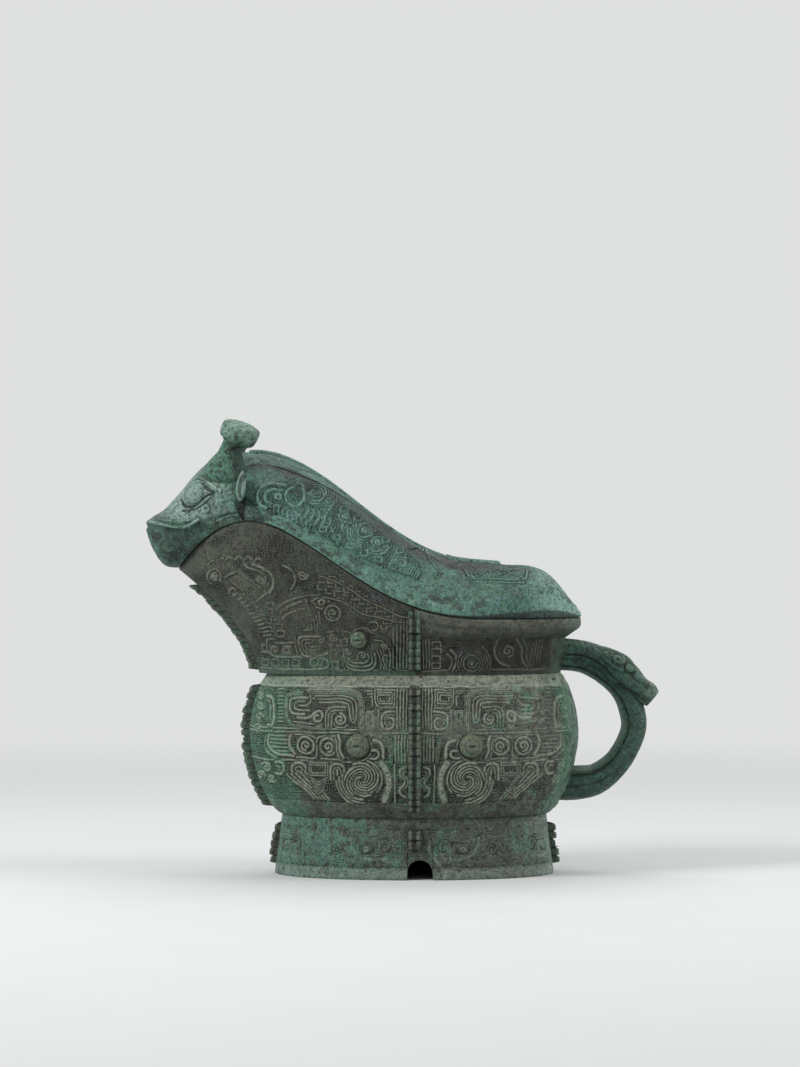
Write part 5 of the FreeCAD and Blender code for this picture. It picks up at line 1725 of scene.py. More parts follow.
    def build(self, side: Side, end: End) -> bpy.types.Object:
        """Build one quarter of the roof."""
        lv = self.levels
        every = 6
        split = 2.0
        angles = np.linspace(0, np.pi, 4001)
        square, p, q = lv.square, 2.0, 1.75
        c, s_ = np.cos(angles), np.sin(angles)
        edge_x = lv.mid_x + np.where(
            c >= 0, RIM_LENGTH * np.abs(c) ** (2 / square), -SPOUT_LENGTH * np.abs(c) ** (2 / p)
        )
        edge_y = RIM_WIDTH * np.abs(s_) ** np.where(c >= 0, 2 / square, 2 / q)
        run = run_along(edge_x, edge_y)
        at_split = np.interp(-split, -edge_x, run)
        at_front = np.interp(-self.front_x, -edge_x, run)
        window = (at_split, 0.0) if end is End.HANDLE else (at_split, at_front)
        places = spaced(window[0], window[1], 0.42, every)
        ex = np.interp(places, run, edge_x)
        ey = np.interp(places, run, edge_y)
        sx = np.where(ex > 30.0, 30.0 + (self.fan_x - 30.0) * smooth((ex - 30.0) / 66.0) * 0.9, ex)
        share = np.linspace(0, 1, 24 * every + 1)[:, None] ** 0.97
        x = mix(sx[None, :], ex[None, :], share)
        y = ey[None, :] * share
        z = self.surface(x, y)
        w = self.across(x, y)
        grid = np.stack([x, -y, z], 2)
        cover, raised, incised, lift = self.board.read(*distort(x, w, grid * (1, -side.sign, 1), 51))
        hollow = ear_hollow(x, z, lv)
        raised, incised = raised * (1 - hollow), incised * (1 - hollow)
        lift = lift * (1 - hollow) - 2.3 * hollow
        base = lv.rim_height(x) + 2.0
        above = z - base
        panel_share = smooth((w - 8.0) / 1.5) * smooth((above - 5.5) / 2.0)
        slope_plain = 1 - smooth((x - 66.0) / 5.0)
        ground = 1.1 * thunder_ground(x, w, 5.9, 5.1, 1.5) * (1 - cover) * panel_share
        ground = ground * smooth(lift / 0.6 + 0.25 * smooth((x - 20) / 10))
        fade, crust = weather(grid, side, 61, 1.3 * (1 - smooth((above - 7) / 4)) + 0.35)
        relief = (ground + (raised - incised) * np.minimum(slope_plain + 0.15, 1)) * fade * 1.1 + lift * 1.0
        normal = outward_of(grid)
        normal = normal * np.sign(normal[..., 2].sum())
        rim_soft = 0.5 * (1 - smooth((1 - share) * 60 / 1.5))
        moved = grid + normal * (relief + crust - rim_soft)[..., None]
        lip = np.linspace(0, 1, every + 1)[1:]
        edge = moved[-1]
        lip_rows = []
        gap = lv.rim_height(edge[:, 0]) + 0.4
        for t in lip:
            row = edge.copy()
            row[:, 2] = mix(edge[:, 2], gap, t)
            row[:, 0] += 0.25 * math.sin(math.pi * t) * np.sign(row[:, 0])
            row[:, 1] -= 0.3 * math.sin(math.pi * t)
            lip_rows.append(row)
        outer = np.concatenate([moved, np.array(lip_rows)])
        pad = np.zeros((every, outer.shape[1]))
        marks = marked(relief - lift + 0.9 * crust, panel_share * smooth(lift / 0.6))
        # Painted shade: the lip's lowest rows turn dark, deepening the joint over the rim.
        lip_marks = mix(marks[-1], 0.2, smooth(3 * lip)[:, None]) - 1.3 * smooth((lip - 0.68) / 0.25)[:, None]
        relief_mark = np.concatenate([marks, np.clip(lip_marks, -1, 1)])
        inner_share = np.concatenate([share[::every, 0] * 0.93, [0.935]])[:, None]
        inner_x = mix(sx[None, ::every], ex[None, ::every], inner_share)
        inner_y = ey[None, ::every] * inner_share
        inner_z = self.surface(inner_x, inner_y) - WALL
        floor_z = lv.rim_height(inner_x) + 0.45
        inner_z = np.maximum(inner_z, floor_z)
        inner_z[-1] = floor_z[-1]
        inner = np.stack([inner_x, -inner_y, inner_z], 2)
        outer, inner = mirrored(outer, side), mirrored(inner, side)
        moss = 0.15 + 0.5 * smooth((w - 22) / 20)
        moss = np.concatenate([moss, pad + moss[-1]])
        over = smooth((np.interp(
            x, self.strip[:, 0], self.strip[:, 1]
        ) - w) / 1.6) * (1 - smooth((x - 8) / 10))
        # Painted light on the cover's side: the rear slope is lightened as a painted highlight, and the upper
        # middle, the roof behind the horn, a patch near the front and the hollow behind the ear are darkened
        # as painted shade.
        middle = smooth((x + 62) / 30) * (1 - smooth((x - 40) / 25))
        middle = middle * (1 - over) * (1 - smooth((w - 24) / 12))
        edge_pale = 0.12 * (1 - smooth((above - 4.0) / 3.0))
        shade_behind_horn = 0.7 * smooth((-56 - x) / 16) * (1 - over) * (1 - smooth((w - 17) / 7))
        shaded_zone = 0.5 * hill((x + 68) / 18, (w - 26) / 12)
        spread = 0.95 * smooth((x - 60) / 24) + 0.34 * over + edge_pale
        spread = spread - 0.6 * middle - 1.15 * shade_behind_horn - shaded_zone - 1.3 * hollow
        pale = np.clip(np.concatenate([spread, pad + spread[-1]]), -1, 1)
        name = f"cover_{end.value}_{side.value}"
        return wall_piece(name, outer, inner, every, relief=relief_mark, moss=moss, pale=pale)


# Ribs, bosses, handle, head and horns


def hermite(stations: Array, count: int) -> tuple[Array, Array, Array]:
    """Even places along a row of stations.

    Args:
        stations: X, z, half height and half width of each station.
        count: How many places to return.

    Returns:
        The places' values, the unit direction across the run in the plane of symmetry, and the run so far.
    """
    run = run_along(stations[:, 0], stations[:, 1])
    places = np.linspace(0, run[-1], count)
    tracks = [curve_through(list(zip(run, stations[:, k])), places) for k in range(4)]
    dx, dz = np.gradient(tracks[0]), np.gradient(tracks[1])
    length = np.hypot(dx, dz)
    across = np.stack([-dz / length, np.zeros(count), dx / length], 1)
    return np.stack(tracks, 1), across, places


@dataclass
class Rib:
    """Notched rib that stands on a wall."""

    name: str
    base: Array
    outward: Array
    across: tuple[float, float, float]
    half_width: float
    projection: float
    seed: int
    groove: float = 0.0
    notch_depth: float = 1.4
    sink: float = 2.2

    def build(self) -> bpy.types.Object:
        """Build the rib with uneven teeth and worn edges."""
        run = np.concatenate([[0], np.cumsum(np.linalg.norm(np.diff(self.base, axis=0), axis=1))])
        teeth = max(int(run[-1] / 4.2), 1)
        pitch = run[-1] / teeth
        chance = np.random.default_rng(self.seed)
        tall = chance.uniform(-0.5, 0.1, teeth + 1)
        tall[chance.integers(0, teeth, 2)] -= 1.0
        wide = chance.uniform(0.72, 0.84, teeth + 1)
        tooth = np.minimum((run / pitch).astype(int), teeth)
        phase = run / pitch - tooth
        notch = smooth((phase - wide[tooth]) / 0.09) * (1 - smooth((phase - 0.93) / 0.07))
        round_off = 0.4 * np.abs(phase / 0.42 - 1) ** 3 * (phase < 0.84)
        height = self.projection + tall[tooth] - self.notch_depth * notch - round_off
        ends = smooth(run / 0.6) * smooth((run[-1] - run) / 0.6)
        height = mix(0.2 * self.projection, height, ends)
        sides = np.array([-self.sink, -0.6, 0.25, 0.5, 0.72])
        u = np.linspace(-0.97, 0.97, 19)
        flank, crown = np.ones(len(sides)), np.ones(len(u))
        across = np.concatenate([-flank, u, flank])
        up = np.concatenate([sides, 1 - 0.3 * np.abs(u) ** 5, sides[::-1]])
        top = np.concatenate([0 * flank, crown, 0 * flank])
        rise = np.where(up[None, :] > 0, up[None, :] * height[:, None], up[None, :])
        if self.groove:
            trough = np.exp(-((across * self.half_width / 1.5) ** 4)) * top
            rise = rise - self.groove * trough[None, :]
        waist = 1 - 0.07 * notch[:, None] * (up[None, :] > 0)
        points = (
            self.base[:, None, :]
            + self.outward[:, None, :] * rise[..., None]
            + np.array(self.across)[None, None, :] * (across[None, :] * self.half_width * waist)[..., None]
        )
        lumps = clouds(points, 2.4, self.seed, 2)
        points = points + self.outward[:, None, :] * (0.4 * lumps * top[None, :])[..., None]
        pale = smooth((rise / np.maximum(self.projection, 1e-6) - 0.6) / 0.35) * (0.25 - 0.25 * notch[
            :, None,
        ])
        middle = 0.75 * np.exp(-((across * self.half_width / 1.4) ** 4)) * (self.groove > 0)
        relief = np.clip(0.3 * top[None, :] - 0.6 * notch[:, None] - middle[None, :], -1, 1)
        return loft_piece(self.name, points, relief=relief, moss=0.3, pale=np.clip(pale, 0, 1))


class Ribs:
    """All the notched ribs of the vessel."""

    def __init__(self, levels: Levels, foot: FootWall, belly: BellyWall, neck: NeckWall) -> None:
        """Keep the walls that carry the ribs."""
        self.levels = levels
        self.foot = foot
        self.belly = belly
        self.neck = neck

    def end_rib(
        self, name: str, edge: Callable, low: float, high: float, sign: float, **sizes: float
    ) -> bpy.types.Object:
        """Build a rib in the plane of symmetry.

        Args:
            name: Name of the piece.
            edge: Distance of the wall's end from x 0, at a height.
            low: Height of the rib's foot.
            high: Height of the rib's top.
            sign: Direction along X.
            sizes: Projection, notch depth and seed.

        Returns:
            The rib.
        """
        z = np.linspace(low, high, int((high - low) / 0.25))
        base = np.stack([sign * edge(z), 0 * z, z], 1)
        outward = np.tile([sign, 0.0, 0.0], (len(z), 1))
        return Rib(name, base, outward, (0, 1, 0), 2.3, **sizes).build()

    def side_rib(
        self, name: str, edge: Callable, low: float, high: float, side: Side, seed: int
    ) -> bpy.types.Object:
        """Build a double rib on one side, where edge gives the wall's half width at a height."""
        z = np.linspace(low, high, int((high - low) / 0.25))
        base = np.stack([np.full_like(z, self.levels.mid_x), side.sign * edge(z), z], 1)
        outward = np.tile([0.0, side.sign, 0.0], (len(z), 1))
        return Rib(name, base, outward, (1, 0, 0), 3.5, 3.6, seed, groove=0.9, notch_depth=0.7).build()

    def build(self) -> list[tuple[bpy.types.Object, str]]:
        """Build every rib with the name of the node that it stands for."""
        lv = self.levels
        mid = lv.mid_x
        foot, belly, neck = self.foot.sizes, self.belly.half_sizes, self.neck.sizes
        foot_span = (5.5, lv.foot_top - 5.5)
        belly_span = (lv.foot_top + 4, lv.shoulder - 1.5)
        ends = (
            (
                "spout_rib", "spout_flange", lambda z: neck(z)[1] - mid, (lv.neck + 1.5, lv.neck + 51.5), -1,
                5.8, 0.4,
            ),
            ("belly_rib_front", "belly_flange_front", lambda z: belly(z)[0] - mid, belly_span, -1, 5.8, 0.9),
            ("foot_rib_front", "foot_flange_front", lambda z: foot(z)[0] - mid, foot_span, -1, 4.6, 1.3),
            ("foot_rib_back", "foot_flange_back", lambda z: foot(z)[0] + mid, foot_span, 1, 4.6, 1.3),
        )
        made = []
        for seed, (name, owner, edge, span, sign, projection, notch) in enumerate(ends, 5):
            rib = self.end_rib(name, edge, *span, sign, projection=projection, notch_depth=notch, seed=seed)
            made.append((rib, owner))
        neck_span = (lv.neck + 3, float(lv.rim_height(mid)) - 1.5)
        for k, side in enumerate(Side):
            low = 17.0 if side is Side.NEAR else foot_span[0]
            for part, edge, span, seed in (
                ("neck", lambda z: neck(z)[2], neck_span, 11),
                ("belly", lambda z: belly(z)[1], belly_span, 13),
                ("foot", lambda z: foot(z)[2], (low, foot_span[1]), 15),
            ):
                rib = self.side_rib(f"{part}_rib_{side.value}", edge, *span, side, seed + k)
                made.append((rib, f"{part}_flange_{side.value}"))
        return made


def boss_rings(centre: Array, outward: Array, radius: float, height: float, seed: int) -> tuple[Array, Array]:
    """Rings of an eye boss with a ring groove and a pupil, and its relief marks."""
    outward = outward / np.linalg.norm(outward)
    up = np.array([0.0, 0.0, 1.0]) - outward * outward[2]
    up /= np.linalg.norm(up)
    side = np.cross(up, outward)
    turn = full_turn(84)
    share = np.concatenate([[1.04, 1.02], 1 - np.linspace(0, 1, 44)[:-1] ** 1.2, [0.006]])
    rows, marks = [], []
    for row, r in enumerate(share):
        a, b = r * radius * np.cos(turn), r * radius * np.sin(turn)
        dome = height * max(1 - min(r, 1) ** 2, 0.0) ** 0.62 if row > 1 else (-3.0 if row == 0 else -0.2)
        pupil = 0.75 * hill(a / 2.3, b / 0.75) + 0.35 * hill((r - 0.6) * radius / 0.42)
        lift = dome - pupil + 0.1 * cloud(np.stack([a + seed * 9, b, 0 * a], 1), 1.8, seed)
        rows.append(centre + np.outer(a, side) + np.outer(b, up) + np.outer(lift, outward))
        marks.append(0.45 - 2.0 * pupil + 0 * a)
    return np.array(rows), np.clip(np.array(marks), -1, 1)


class Bosses:
    """Eye bosses of the masks."""

    def __init__(self, belly: BellyWall, neck: NeckWall) -> None:
        """Keep the walls that carry the bosses."""
        self.belly = belly
        self.neck = neck

    @staticmethod
    def spot(wall: Wall, x: float, z: float) -> tuple[Array, Array]:
        """Point and outward direction on the near side of a wall."""
        angle = float(wall.angle_of(wall.seen(np.array([x]), np.array([z])))[0])
        points = []
        for da, dz in ((0, 0), (1e-3, 0), (0, 0.1)):
            px, py = wall.outline(np.array([angle + da]), np.array([z + dz]))
            points.append(np.array([px[0], -py[0], z + dz]))
        outward = np.cross(points[1] - points[0], points[2] - points[0])
        if outward[1] > 0:
            outward = -outward
        return points[0], outward

    def build(self, side: Side) -> list[tuple[bpy.types.Object, str]]:
        """Build the bosses of one side."""
        made = []
        mid = self.belly.levels.mid_x
        base = self.belly.levels.foot_top
        on_neck = self.belly.levels.neck + 20.5
        spots = (
            (self.belly.wall, mid - 32.5, base + 42.5, 6.7, 4.2, "belly_bosses", "spout"),
            (self.belly.wall, mid + 32.5, base + 42.5, 6.7, 4.2, "belly_bosses", "handle"),
            (self.neck.wall, -31.0, on_neck, 4.8, 3.2, "neck_boss", "neck"),
        )
        for k, (wall, x, z, radius, height, owner, tag) in enumerate(spots):
            centre, outward = self.spot(wall, x, z)
            rings, marks = boss_rings(centre, outward, radius, height, 3 + k)
            name = f"eye_boss_{tag}_{side.value}"
            piece = loft_piece(name, mirrored(rings, side), relief=marks, moss=0.15, pale=0.12)
            made.append((piece, f"{owner}_{side.value}"))
        return made


class Handle:
    """Loop handle with a small bovine head that grows out of the neck over it."""

    reach = 32.8

    def __init__(self, levels: Levels) -> None:
        """Keep the levels."""
        self.levels = levels

    def loop_stations(self) -> Array:
        """Centre x, z, half height and half width along the loop."""
        lv = self.levels
        ux, uz = lv.mid_x + NECK_LENGTH, lv.neck + 6.5
        lz = lv.foot_top + 17.0
        down = (lv.widest - lz) / (lv.widest - lv.foot_top)
        lx = lv.mid_x + mix(BASE_LENGTH, BELLY_LENGTH, (1 - down**1.6) ** (1 / 1.6))
        ox = lv.mid_x + BELLY_LENGTH + self.reach
        out, drop = ox - ux, uz - lz
        upper = ((0.26, 0.02, 4.6), (0.56, 0.11, 4.6), (0.81, 0.24, 5.29))
        lower = (
            (0.04, 0.38, 7.2), (0, 0.53, 7.2), (0.08, 0.68, 7.2), (0.25, 0.84, 7.56), (0.52, 0.965, 8.82)
        )
        rows = [(ux - 6, uz, 4.6, 6.4)]
        rows += [(ux + share * out, uz - fall * drop, tall, 6.4) for share, fall, tall in upper]
        rows += [(ox - share * out, uz - fall * drop, tall, 8) for share, fall, tall in lower]
        return np.array(rows + [(ox - 0.78 * out, lz + 0.4, 9.8, 8), (lx - 6, lz, 9.8, 8)])

    def head_stations(self) -> Array:
        """Centre x, z, half height and half width along the head."""
        x, z = self.levels.mid_x + NECK_LENGTH, self.levels.neck + 12.5
        long, tall, wide = 55.0, 9.4, 11.0
        shares = (
            (0.22, 0.5, 0.72, 0.74), (0.42, 4.5, 0.78, 0.86), (
                0.60, 11.0, 1.0, 1.0,
            ), (0.72, 16.0, 0.92, 0.90),
            (0.84, 21.5, 0.72, 0.74), (0.93, 25.5, 0.76, 0.80), (0.985, 28.0, 0.60, 0.62),
        )
        rows = [(x + a * long, z - fall, b * tall, c * wide) for a, fall, b, c in shares]
        return np.array([(x - 6, z + 0.5, 0.82 * tall, 0.78 * wide)] + rows)

    @staticmethod
    def swept(stations: Array, count: int, around: int, power: float) -> tuple[Array, Array, Array, Array]:
        """Smooth rings along stations, with the place along, the turn round, and the outward direction."""
        tracks, across, places = hermite(stations, count)
        turn = full_turn(around)
        c, s = np.cos(turn), np.sin(turn)
        up = np.sign(c) * np.abs(c) ** (2 / power)
        side = np.sign(s) * np.abs(s) ** (2 / power)
        middle = np.stack([tracks[:, 0], 0 * places, tracks[:, 1]], 1)
        rings = middle[:, None, :] + across[:, None, :] * (up[None, :] * tracks[:, 2:3])[..., None]
        rings = rings + np.array([0.0, 1.0, 0.0]) * (side[None, :] * tracks[:, 3:4])[..., None]
        outward = across[:, None, :] * c[None, :, None] + np.array([0.0, 1.0, 0.0]) * s[None, :, None]
        along = np.broadcast_to(places[:, None], rings.shape[:2])
        return rings, along, np.broadcast_to(turn[None, :], rings.shape[:2]), outward

    def loop(self) -> bpy.types.Object:
        """Build the loop, with the strip along its inner edge."""
        rings, along, turn, outward = self.swept(self.loop_stations(), 420, 132, 2.6)
        facing = np.cos(turn)
        lower = smooth((along - 95) / 12)
        groove = hill((facing + 0.42) / 0.075) + 0.7 * lower * hill((facing - 0.1) / 0.06)
        strip = 0.5 * smooth((-facing - 0.5) / 0.1)
        lumps = clouds(rings, 3.0, 71, 2)
        height = strip - 0.85 * groove + 0.14 * lumps - 0.25 * smooth(lumps * 2 - 1)
        relief = np.clip(strip * 0.4 - 0.55 * groove + 0.5 * lumps, -1, 1)
        # Paler inner strip, and a painted highlight along the outer edge of the lower loop.
        pale = 0.45 * smooth((-facing - 0.55) / 0.2) + 0.35 * smooth((facing - 0.6) / 0.3) * lower
        return loft_piece(
            "handle_strap", rings + outward * height[..., None], relief=relief, moss=0.5, pale=pale
        )

    def head(self) -> bpy.types.Object:
        """Build the small head with brow, eye, horn curl, jaw line and muzzle."""
        rings, along, turn, outward = self.swept(self.head_stations(), 330, 168, 2.35)
        total = float(along.max())
        board = Board(0.0, total, 0.0, 32.0, same_place)
        for line in (
            [(9, 17.6), (22, 17.2), (36, 18.5), (48, 21), (58, 22.5)],
            [(47, 22.5), (52, 20.5), (60, 20.8), (66, 21)],
        ):
            board.cut(soften(line), 1.1, 0.9)
        board.ribbon(coil(38, 9.0, 5.4, 1.25, 200), 2.0, 0.7)
        board.band([(27, 6.5), (33, 3.6), (41, 3.2), (47, 5.5), (49, 9.5)], 2.2, 1.2)
        board.band([(30, 13.5), (36, 15.2), (44, 14.2)], 1.4, 0.7)
        board.ribbon(arc(46.5, 9.8, 1.5, 0, 360, 10), 2.6, 0.8)
        board.cut(arc(46.5, 9.8, 3.5, 0, 360, 18), 0.8, 0.35)
        board.cut(soften([(49, 12), (53, 13.5), (56, 12.5)]), 0.8, 0.7)
        board.ribbon(coil(61.5, 8.0, 2.6, 1.1, 90), 1.3, 0.7)
        for k in range(5):
            board.cut([(8 + 3.4 * k, 3.0), (10.5 + 3.4 * k, 12.5)], 0.7, 0.3)
        half = np.abs(np.where(turn > np.pi, turn - 2 * np.pi, turn)) * 9.6
        _, raised, incised, _ = board.read(along, half)
        lumps = clouds(rings, 3.0, 73, 2)
        height = np.maximum(raised, -0.3) - incised + 0.16 * lumps - 0.3 * smooth(lumps * 2 - 1)
        fade = 0.45 + 0.55 * smooth((along - 20) / 10)
        moved = rings + outward * (height * np.where(incised > raised, 1.0, fade))[..., None]
        relief = np.clip(raised * 0.4 - incised * 0.9 + lumps * 0.5, -1, 1)
        pale = 0.35 * smooth((np.cos(turn) - 0.35) / 0.4) + 0.3 * smooth((along - 58) / 6)
        return loft_piece("handle_beast", moved, relief=relief, moss=0.35, pale=pale)


class BeastHead:
    """Horned animal's head that closes the spout."""

    def __init__(self, levels: Levels) -> None:
        """Keep the levels and draw the face."""
        self.levels = levels
        crest = levels.crest
        peak = crest + 40.8
        back_half = float(levels.roof_half_width(SEAM_X))
        self.stations = [
            (0.00, peak, crest, crest - 24, back_half, 1.7, 1.1), (
                0.16, peak - 0.8, crest + 2, crest - 24, 37.0, 1.9, 1.5,
            ),
            (0.34, peak - 4.0, crest + 7, crest - 24, 32.5, 2.2, 1.9), (
                0.52, peak - 13.5, crest + 7, crest - 26, 30.0, 2.5, 2.1,
            ),
            (0.66, peak - 23.5, crest + 2, crest - 27, 27.5, 2.6, 2.2), (
                0.82, peak - 33.6, crest - 4, crest - 25.5, 23.0, 2.5, 2.2,
            ),
            (0.93, peak - 37.5, crest - 6, crest - 17, 17.0, 2.3, 2.0), (
                1.00, peak - 40.5, crest - 3, crest - 6, 9.5, 2.0, 2.0,
            ),
        ]
        self.board = Board(-160.0, -94.0, 176.0, 250.0, self.place, 0.2)
        self.draw()

    def place(self, points: Array) -> Array:
        """X and height of drawing units on the head's side."""
        return np.stack(from_side(points, HEAD_UNIT), 1)

    def draw(self) -> None:
        """Draw the brow, eye socket, lip ridge, jaw, cheek and nape."""
        b = self.board
        b.area([
            (140, 523), (157, 525.5), (177, 530), (191, 527.5), (199, 521), (214, 517), (236, 512),
            (262, 514), (262, 585), (160, 590), (136, 560),
        ], -1.7, 1.1)
        b.area([(150, 535), (168, 531), (186, 533), (186, 548), (176, 570), (160, 560)], -2.4, 2.5)
        b.area([
            (143, 512), (160, 517), (178, 524), (192, 521.5), (205, 512), (194, 508), (172, 506), (158, 503),
        ], 0.8, 1.6)
        b.band([(140, 520.5), (157, 523.6), (177, 528.2), (190, 525.6), (199, 519.5)], 1.7, 1.35)
        b.line([(157, 518.5), (168, 521), (180, 522.5), (190, 520)], 0.8, 0.4)
        b.area(arc(191.5, 493.0, 15.5, 0, 345, 26), -0.9, 2.2)
        b.cut(soften([
            (176, 492), (180, 486), (190, 480.3), (201, 483.5), (208.7, 489.2), (214.5, 492.6),
        ]), 1.2, 1.0)
        b.cut(soften([
            (180, 499), (184, 506), (193, 507.5), (199, 502), (204.5, 496.5), (213.5, 493.2),
        ]), 1.1, 1.0)
        b.band([(174, 487.5), (181, 479.5), (191, 475.6), (203, 478.6), (212.5, 486), (221, 491)], 1.6, 0.8)
        b.cut(soften([(183, 511), (196, 509.5), (205, 503.5), (211, 497.5)]), 0.8, 0.6)
        b.ribbon(arc(206, 508.5, 2.8, 0, 360, 14), 1.6, 0.3)
        b.band([(160, 509), (167, 513.5), (173, 511.5), (170, 507)], 1.1, 0.5)
        b.area([(206, 474), (226, 478), (236, 474), (240, 480), (228, 483.5), (208, 480)], -1.3, 1.4)
        b.line([(216, 521), (230, 514.5), (246, 513.5), (262, 518)], 1.1, 0.5)

    def build(self) -> bpy.types.Object:
        """Build the head over the rim line."""
        lv = self.levels
        count, around = 250, 400
        place = 1 - (1 - np.linspace(0, 1, count)) ** 1.15
        tracks = [curve_through([(row[0], row[k]) for row in self.stations], place) for k in range(1, 7)]
        top, middle, bottom, half, a, b = tracks
        x = mix(SEAM_X, -155.8, place)
        turn = full_turn(around) + 1e-4
        c, s = np.cos(turn), np.sin(turn)
        up = s >= 0
        py = np.where(up[None, :], 2 / a[:, None], 0.8)
        pz = np.where(up[None, :], 2 / b[:, None], 0.8)
        y = half[:, None] * np.sign(c)[None, :] * np.abs(c)[None, :] ** py
        rise = np.where(up[None, :], (top - middle)[:, None], (middle - bottom)[:, None])
        z = middle[:, None] + rise * np.sign(s)[None, :] * np.abs(s)[None, :] ** pz
        x = np.broadcast_to(x[:, None], y.shape)
        grid = np.stack([x, y, z], 2)
        normal = outward_of(grid)
        normal = normal * np.sign((normal[..., 1] * y).sum())
        cover, raised, incised, lift = self.board.read(x, z)
        side = smooth((np.abs(normal[..., 1]) - 0.18) / 0.35)
        hollow = ear_hollow(x, z, lv)
        lift = lift - 2.3 * hollow
        lumps = clouds(grid, 3.2, 91, 3)
        crust = 0.3 * lumps - 0.45 * smooth(lumps * 2.2 - 1.0)
        height = (np.maximum(raised, -0.35) - incised) * side + crust
        height = height + lift * smooth((np.abs(normal[..., 1]) - 0.1) / 0.5)
        grid = grid + normal * height[..., None]
        floor_z = lv.rim_height(grid[..., 0]) + 0.4
        under = grid[..., 2] < floor_z
        grid[..., 2] = np.maximum(grid[..., 2], floor_z)
        relief = (0.8 * raised - 1.5 * incised + 0.12 * lift) * side + 1.3 * crust
        relief = np.clip(relief, -1, 1) * ~under
        face = 0.8 * hill((x + 129) / 14, (z - lv.crest - 11) / 13)
        face = face + 0.5 * hill((x + 113) / 10, (z - lv.crest - 23) / 6)
        face = (face + 0.12) * smooth((-x - 99) / 6) * smooth((z - lv.crest + 5) / 6)
        snout = 0.1 * smooth((-x - 142) / 6) * smooth((z - lv.crest - 8) / 5)
        # Painted shade: the downward-facing jaw, the face under the horns' roots and the hollow behind the
        # ear are darkened.
        jaw_shade = 0.3 * smooth((lv.crest + 1 - z) / 6)
        shadow_under_horn = hill((x + 108) / 15, (z - lv.crest - 25.5) / 3.2) * side
        pale = np.clip(face - snout - jaw_shade - 0.8 * hollow - 1.1 * shadow_under_horn, -1, 1)
        moss = 0.7 * smooth((lv.crest + 2 - z) / 6) + 0.15
        return loft_piece("beast_head", grid, relief=relief, moss=moss, pale=pale)

    def eye(self, side: Side) -> bpy.types.Object:
        """Build a bulging oval eye that leans back."""
        lv = self.levels
        z0 = lv.crest + 16.4
        _, top, middle, _, half, side_power, up_power = self.stations[3]
        lean = math.radians(48)
        y0 = half * (1 - ((z0 - middle) / (top - middle)) ** up_power) ** (1 / side_power)
        turn = full_turn(96)
        rows, marks = [], []
        for r in np.concatenate([[1.03, 1.0], 1 - np.linspace(0, 1, 40)[1:-1] ** 1.3, [0.01]]):
            a, b = r * 8.3 * np.cos(turn), r * 6.2 * np.sin(turn)
            lift = 3.7 * max(1 - min(r, 1) ** 2, 0) ** 0.55 - (3.0 if r > 1.01 else 0.0)
            rim = 0.45 * hill((r - 0.86) / 0.05)
            u = a * math.cos(lean) - b * math.sin(lean)
            v = a * math.sin(lean) + b * math.cos(lean)
            y = -(y0 - 1.0 - 0.28 * v) - (lift - rim)
            rows.append(np.stack([-126.0 + u, y + 0.02 * u, z0 + v], 1))
            marks.append(np.full_like(a, 0.35 - 1.6 * rim))
        marks = np.array(marks)
        rings = mirrored(np.array(rows), side)
        return loft_piece(f"beast_eye_{side.value}", rings, relief=marks, moss=0.3, pale=0.55)

    def horn(self, side: Side) -> bpy.types.Object:
        """Build a bottle-shaped horn: flared base, stem and thick cap."""
        lv = self.levels
        outline = [
            (13.6, -6), (13.2, 0.5), (12.4, 3.2), (10.4, 6.6), (
                8.2, 10.4,
            ), (6.9, 14.2), (6.2, 17.5), (6.3, 20.2),
            (7.6, 21.8), (9.3, 22.9), (9.9, 24.6), (10.0, 28.4), (9.8, 30.6), (
                8.9, 31.7,
            ), (6.0, 32.4), (2.0, 32.7), (0.05, 32.7),
        ]
        run = run_along(*np.array(outline).T)
        places = np.linspace(0, run[-1], 150)
        radius = curve_through(list(zip(run, [p[0] for p in outline])), places)
        level = curve_through(list(zip(run, [p[1] for p in outline])), places)
        turn = full_turn(150)
        sway = 1 + 0.05 * np.sin(2 * turn + 0.6)[None, :] * smooth((level - 20) / 6)[:, None]
        x = radius[:, None] * np.cos(turn)[None, :] * sway
        y = radius[:, None] * np.sin(turn)[None, :] * sway
        tilt = 0.9 * smooth((level - 22) / 6)[:, None] * np.sin(turn + 2.4)[None, :] * (radius / 10)[:, None]
        z = np.broadcast_to(level[:, None], x.shape) + tilt
        grid = np.stack([x, y, z], 2)
        normal = outward_of(grid)
        normal = normal * np.sign((normal[..., 0] * x).sum())
        lumps = clouds(grid, 3.0, 101 if side is Side.NEAR else 102, 3)
        grid = grid + normal * (0.45 * lumps - 0.5 * smooth(lumps * 2.2 - 1.0))[..., None]
        lean, splay = math.radians(22.0), math.radians(20.0)
        gx = grid[..., 0] * math.cos(lean) + grid[..., 2] * math.sin(lean)
        gz = -grid[..., 0] * math.sin(lean) + grid[..., 2] * math.cos(lean)
        gy = grid[..., 1] * math.cos(splay) - gz * math.sin(splay)
        gz = grid[..., 1] * math.sin(splay) + gz * math.cos(splay)
        settle = 4.0 * (1 - smooth(level / 20))[:, None]
        moved = np.stack([gx - 111.5 + settle, gy - 15.0, gz + lv.crest + 28.5], 2)
        relief = np.clip(0.1 + 0.9 * lumps, -1, 1)
        shadow = 0.75 * smooth((gx - 2.0) / 4.0) * (1 - smooth((level - 19) / 3))[:, None]
        pale = 0.45 * smooth((level - 22) / 5)[:, None] - shadow
        return loft_piece(
            f"beast_horn_{side.value}", mirrored(moved, side), relief=relief, moss=0.4, pale=pale
        )

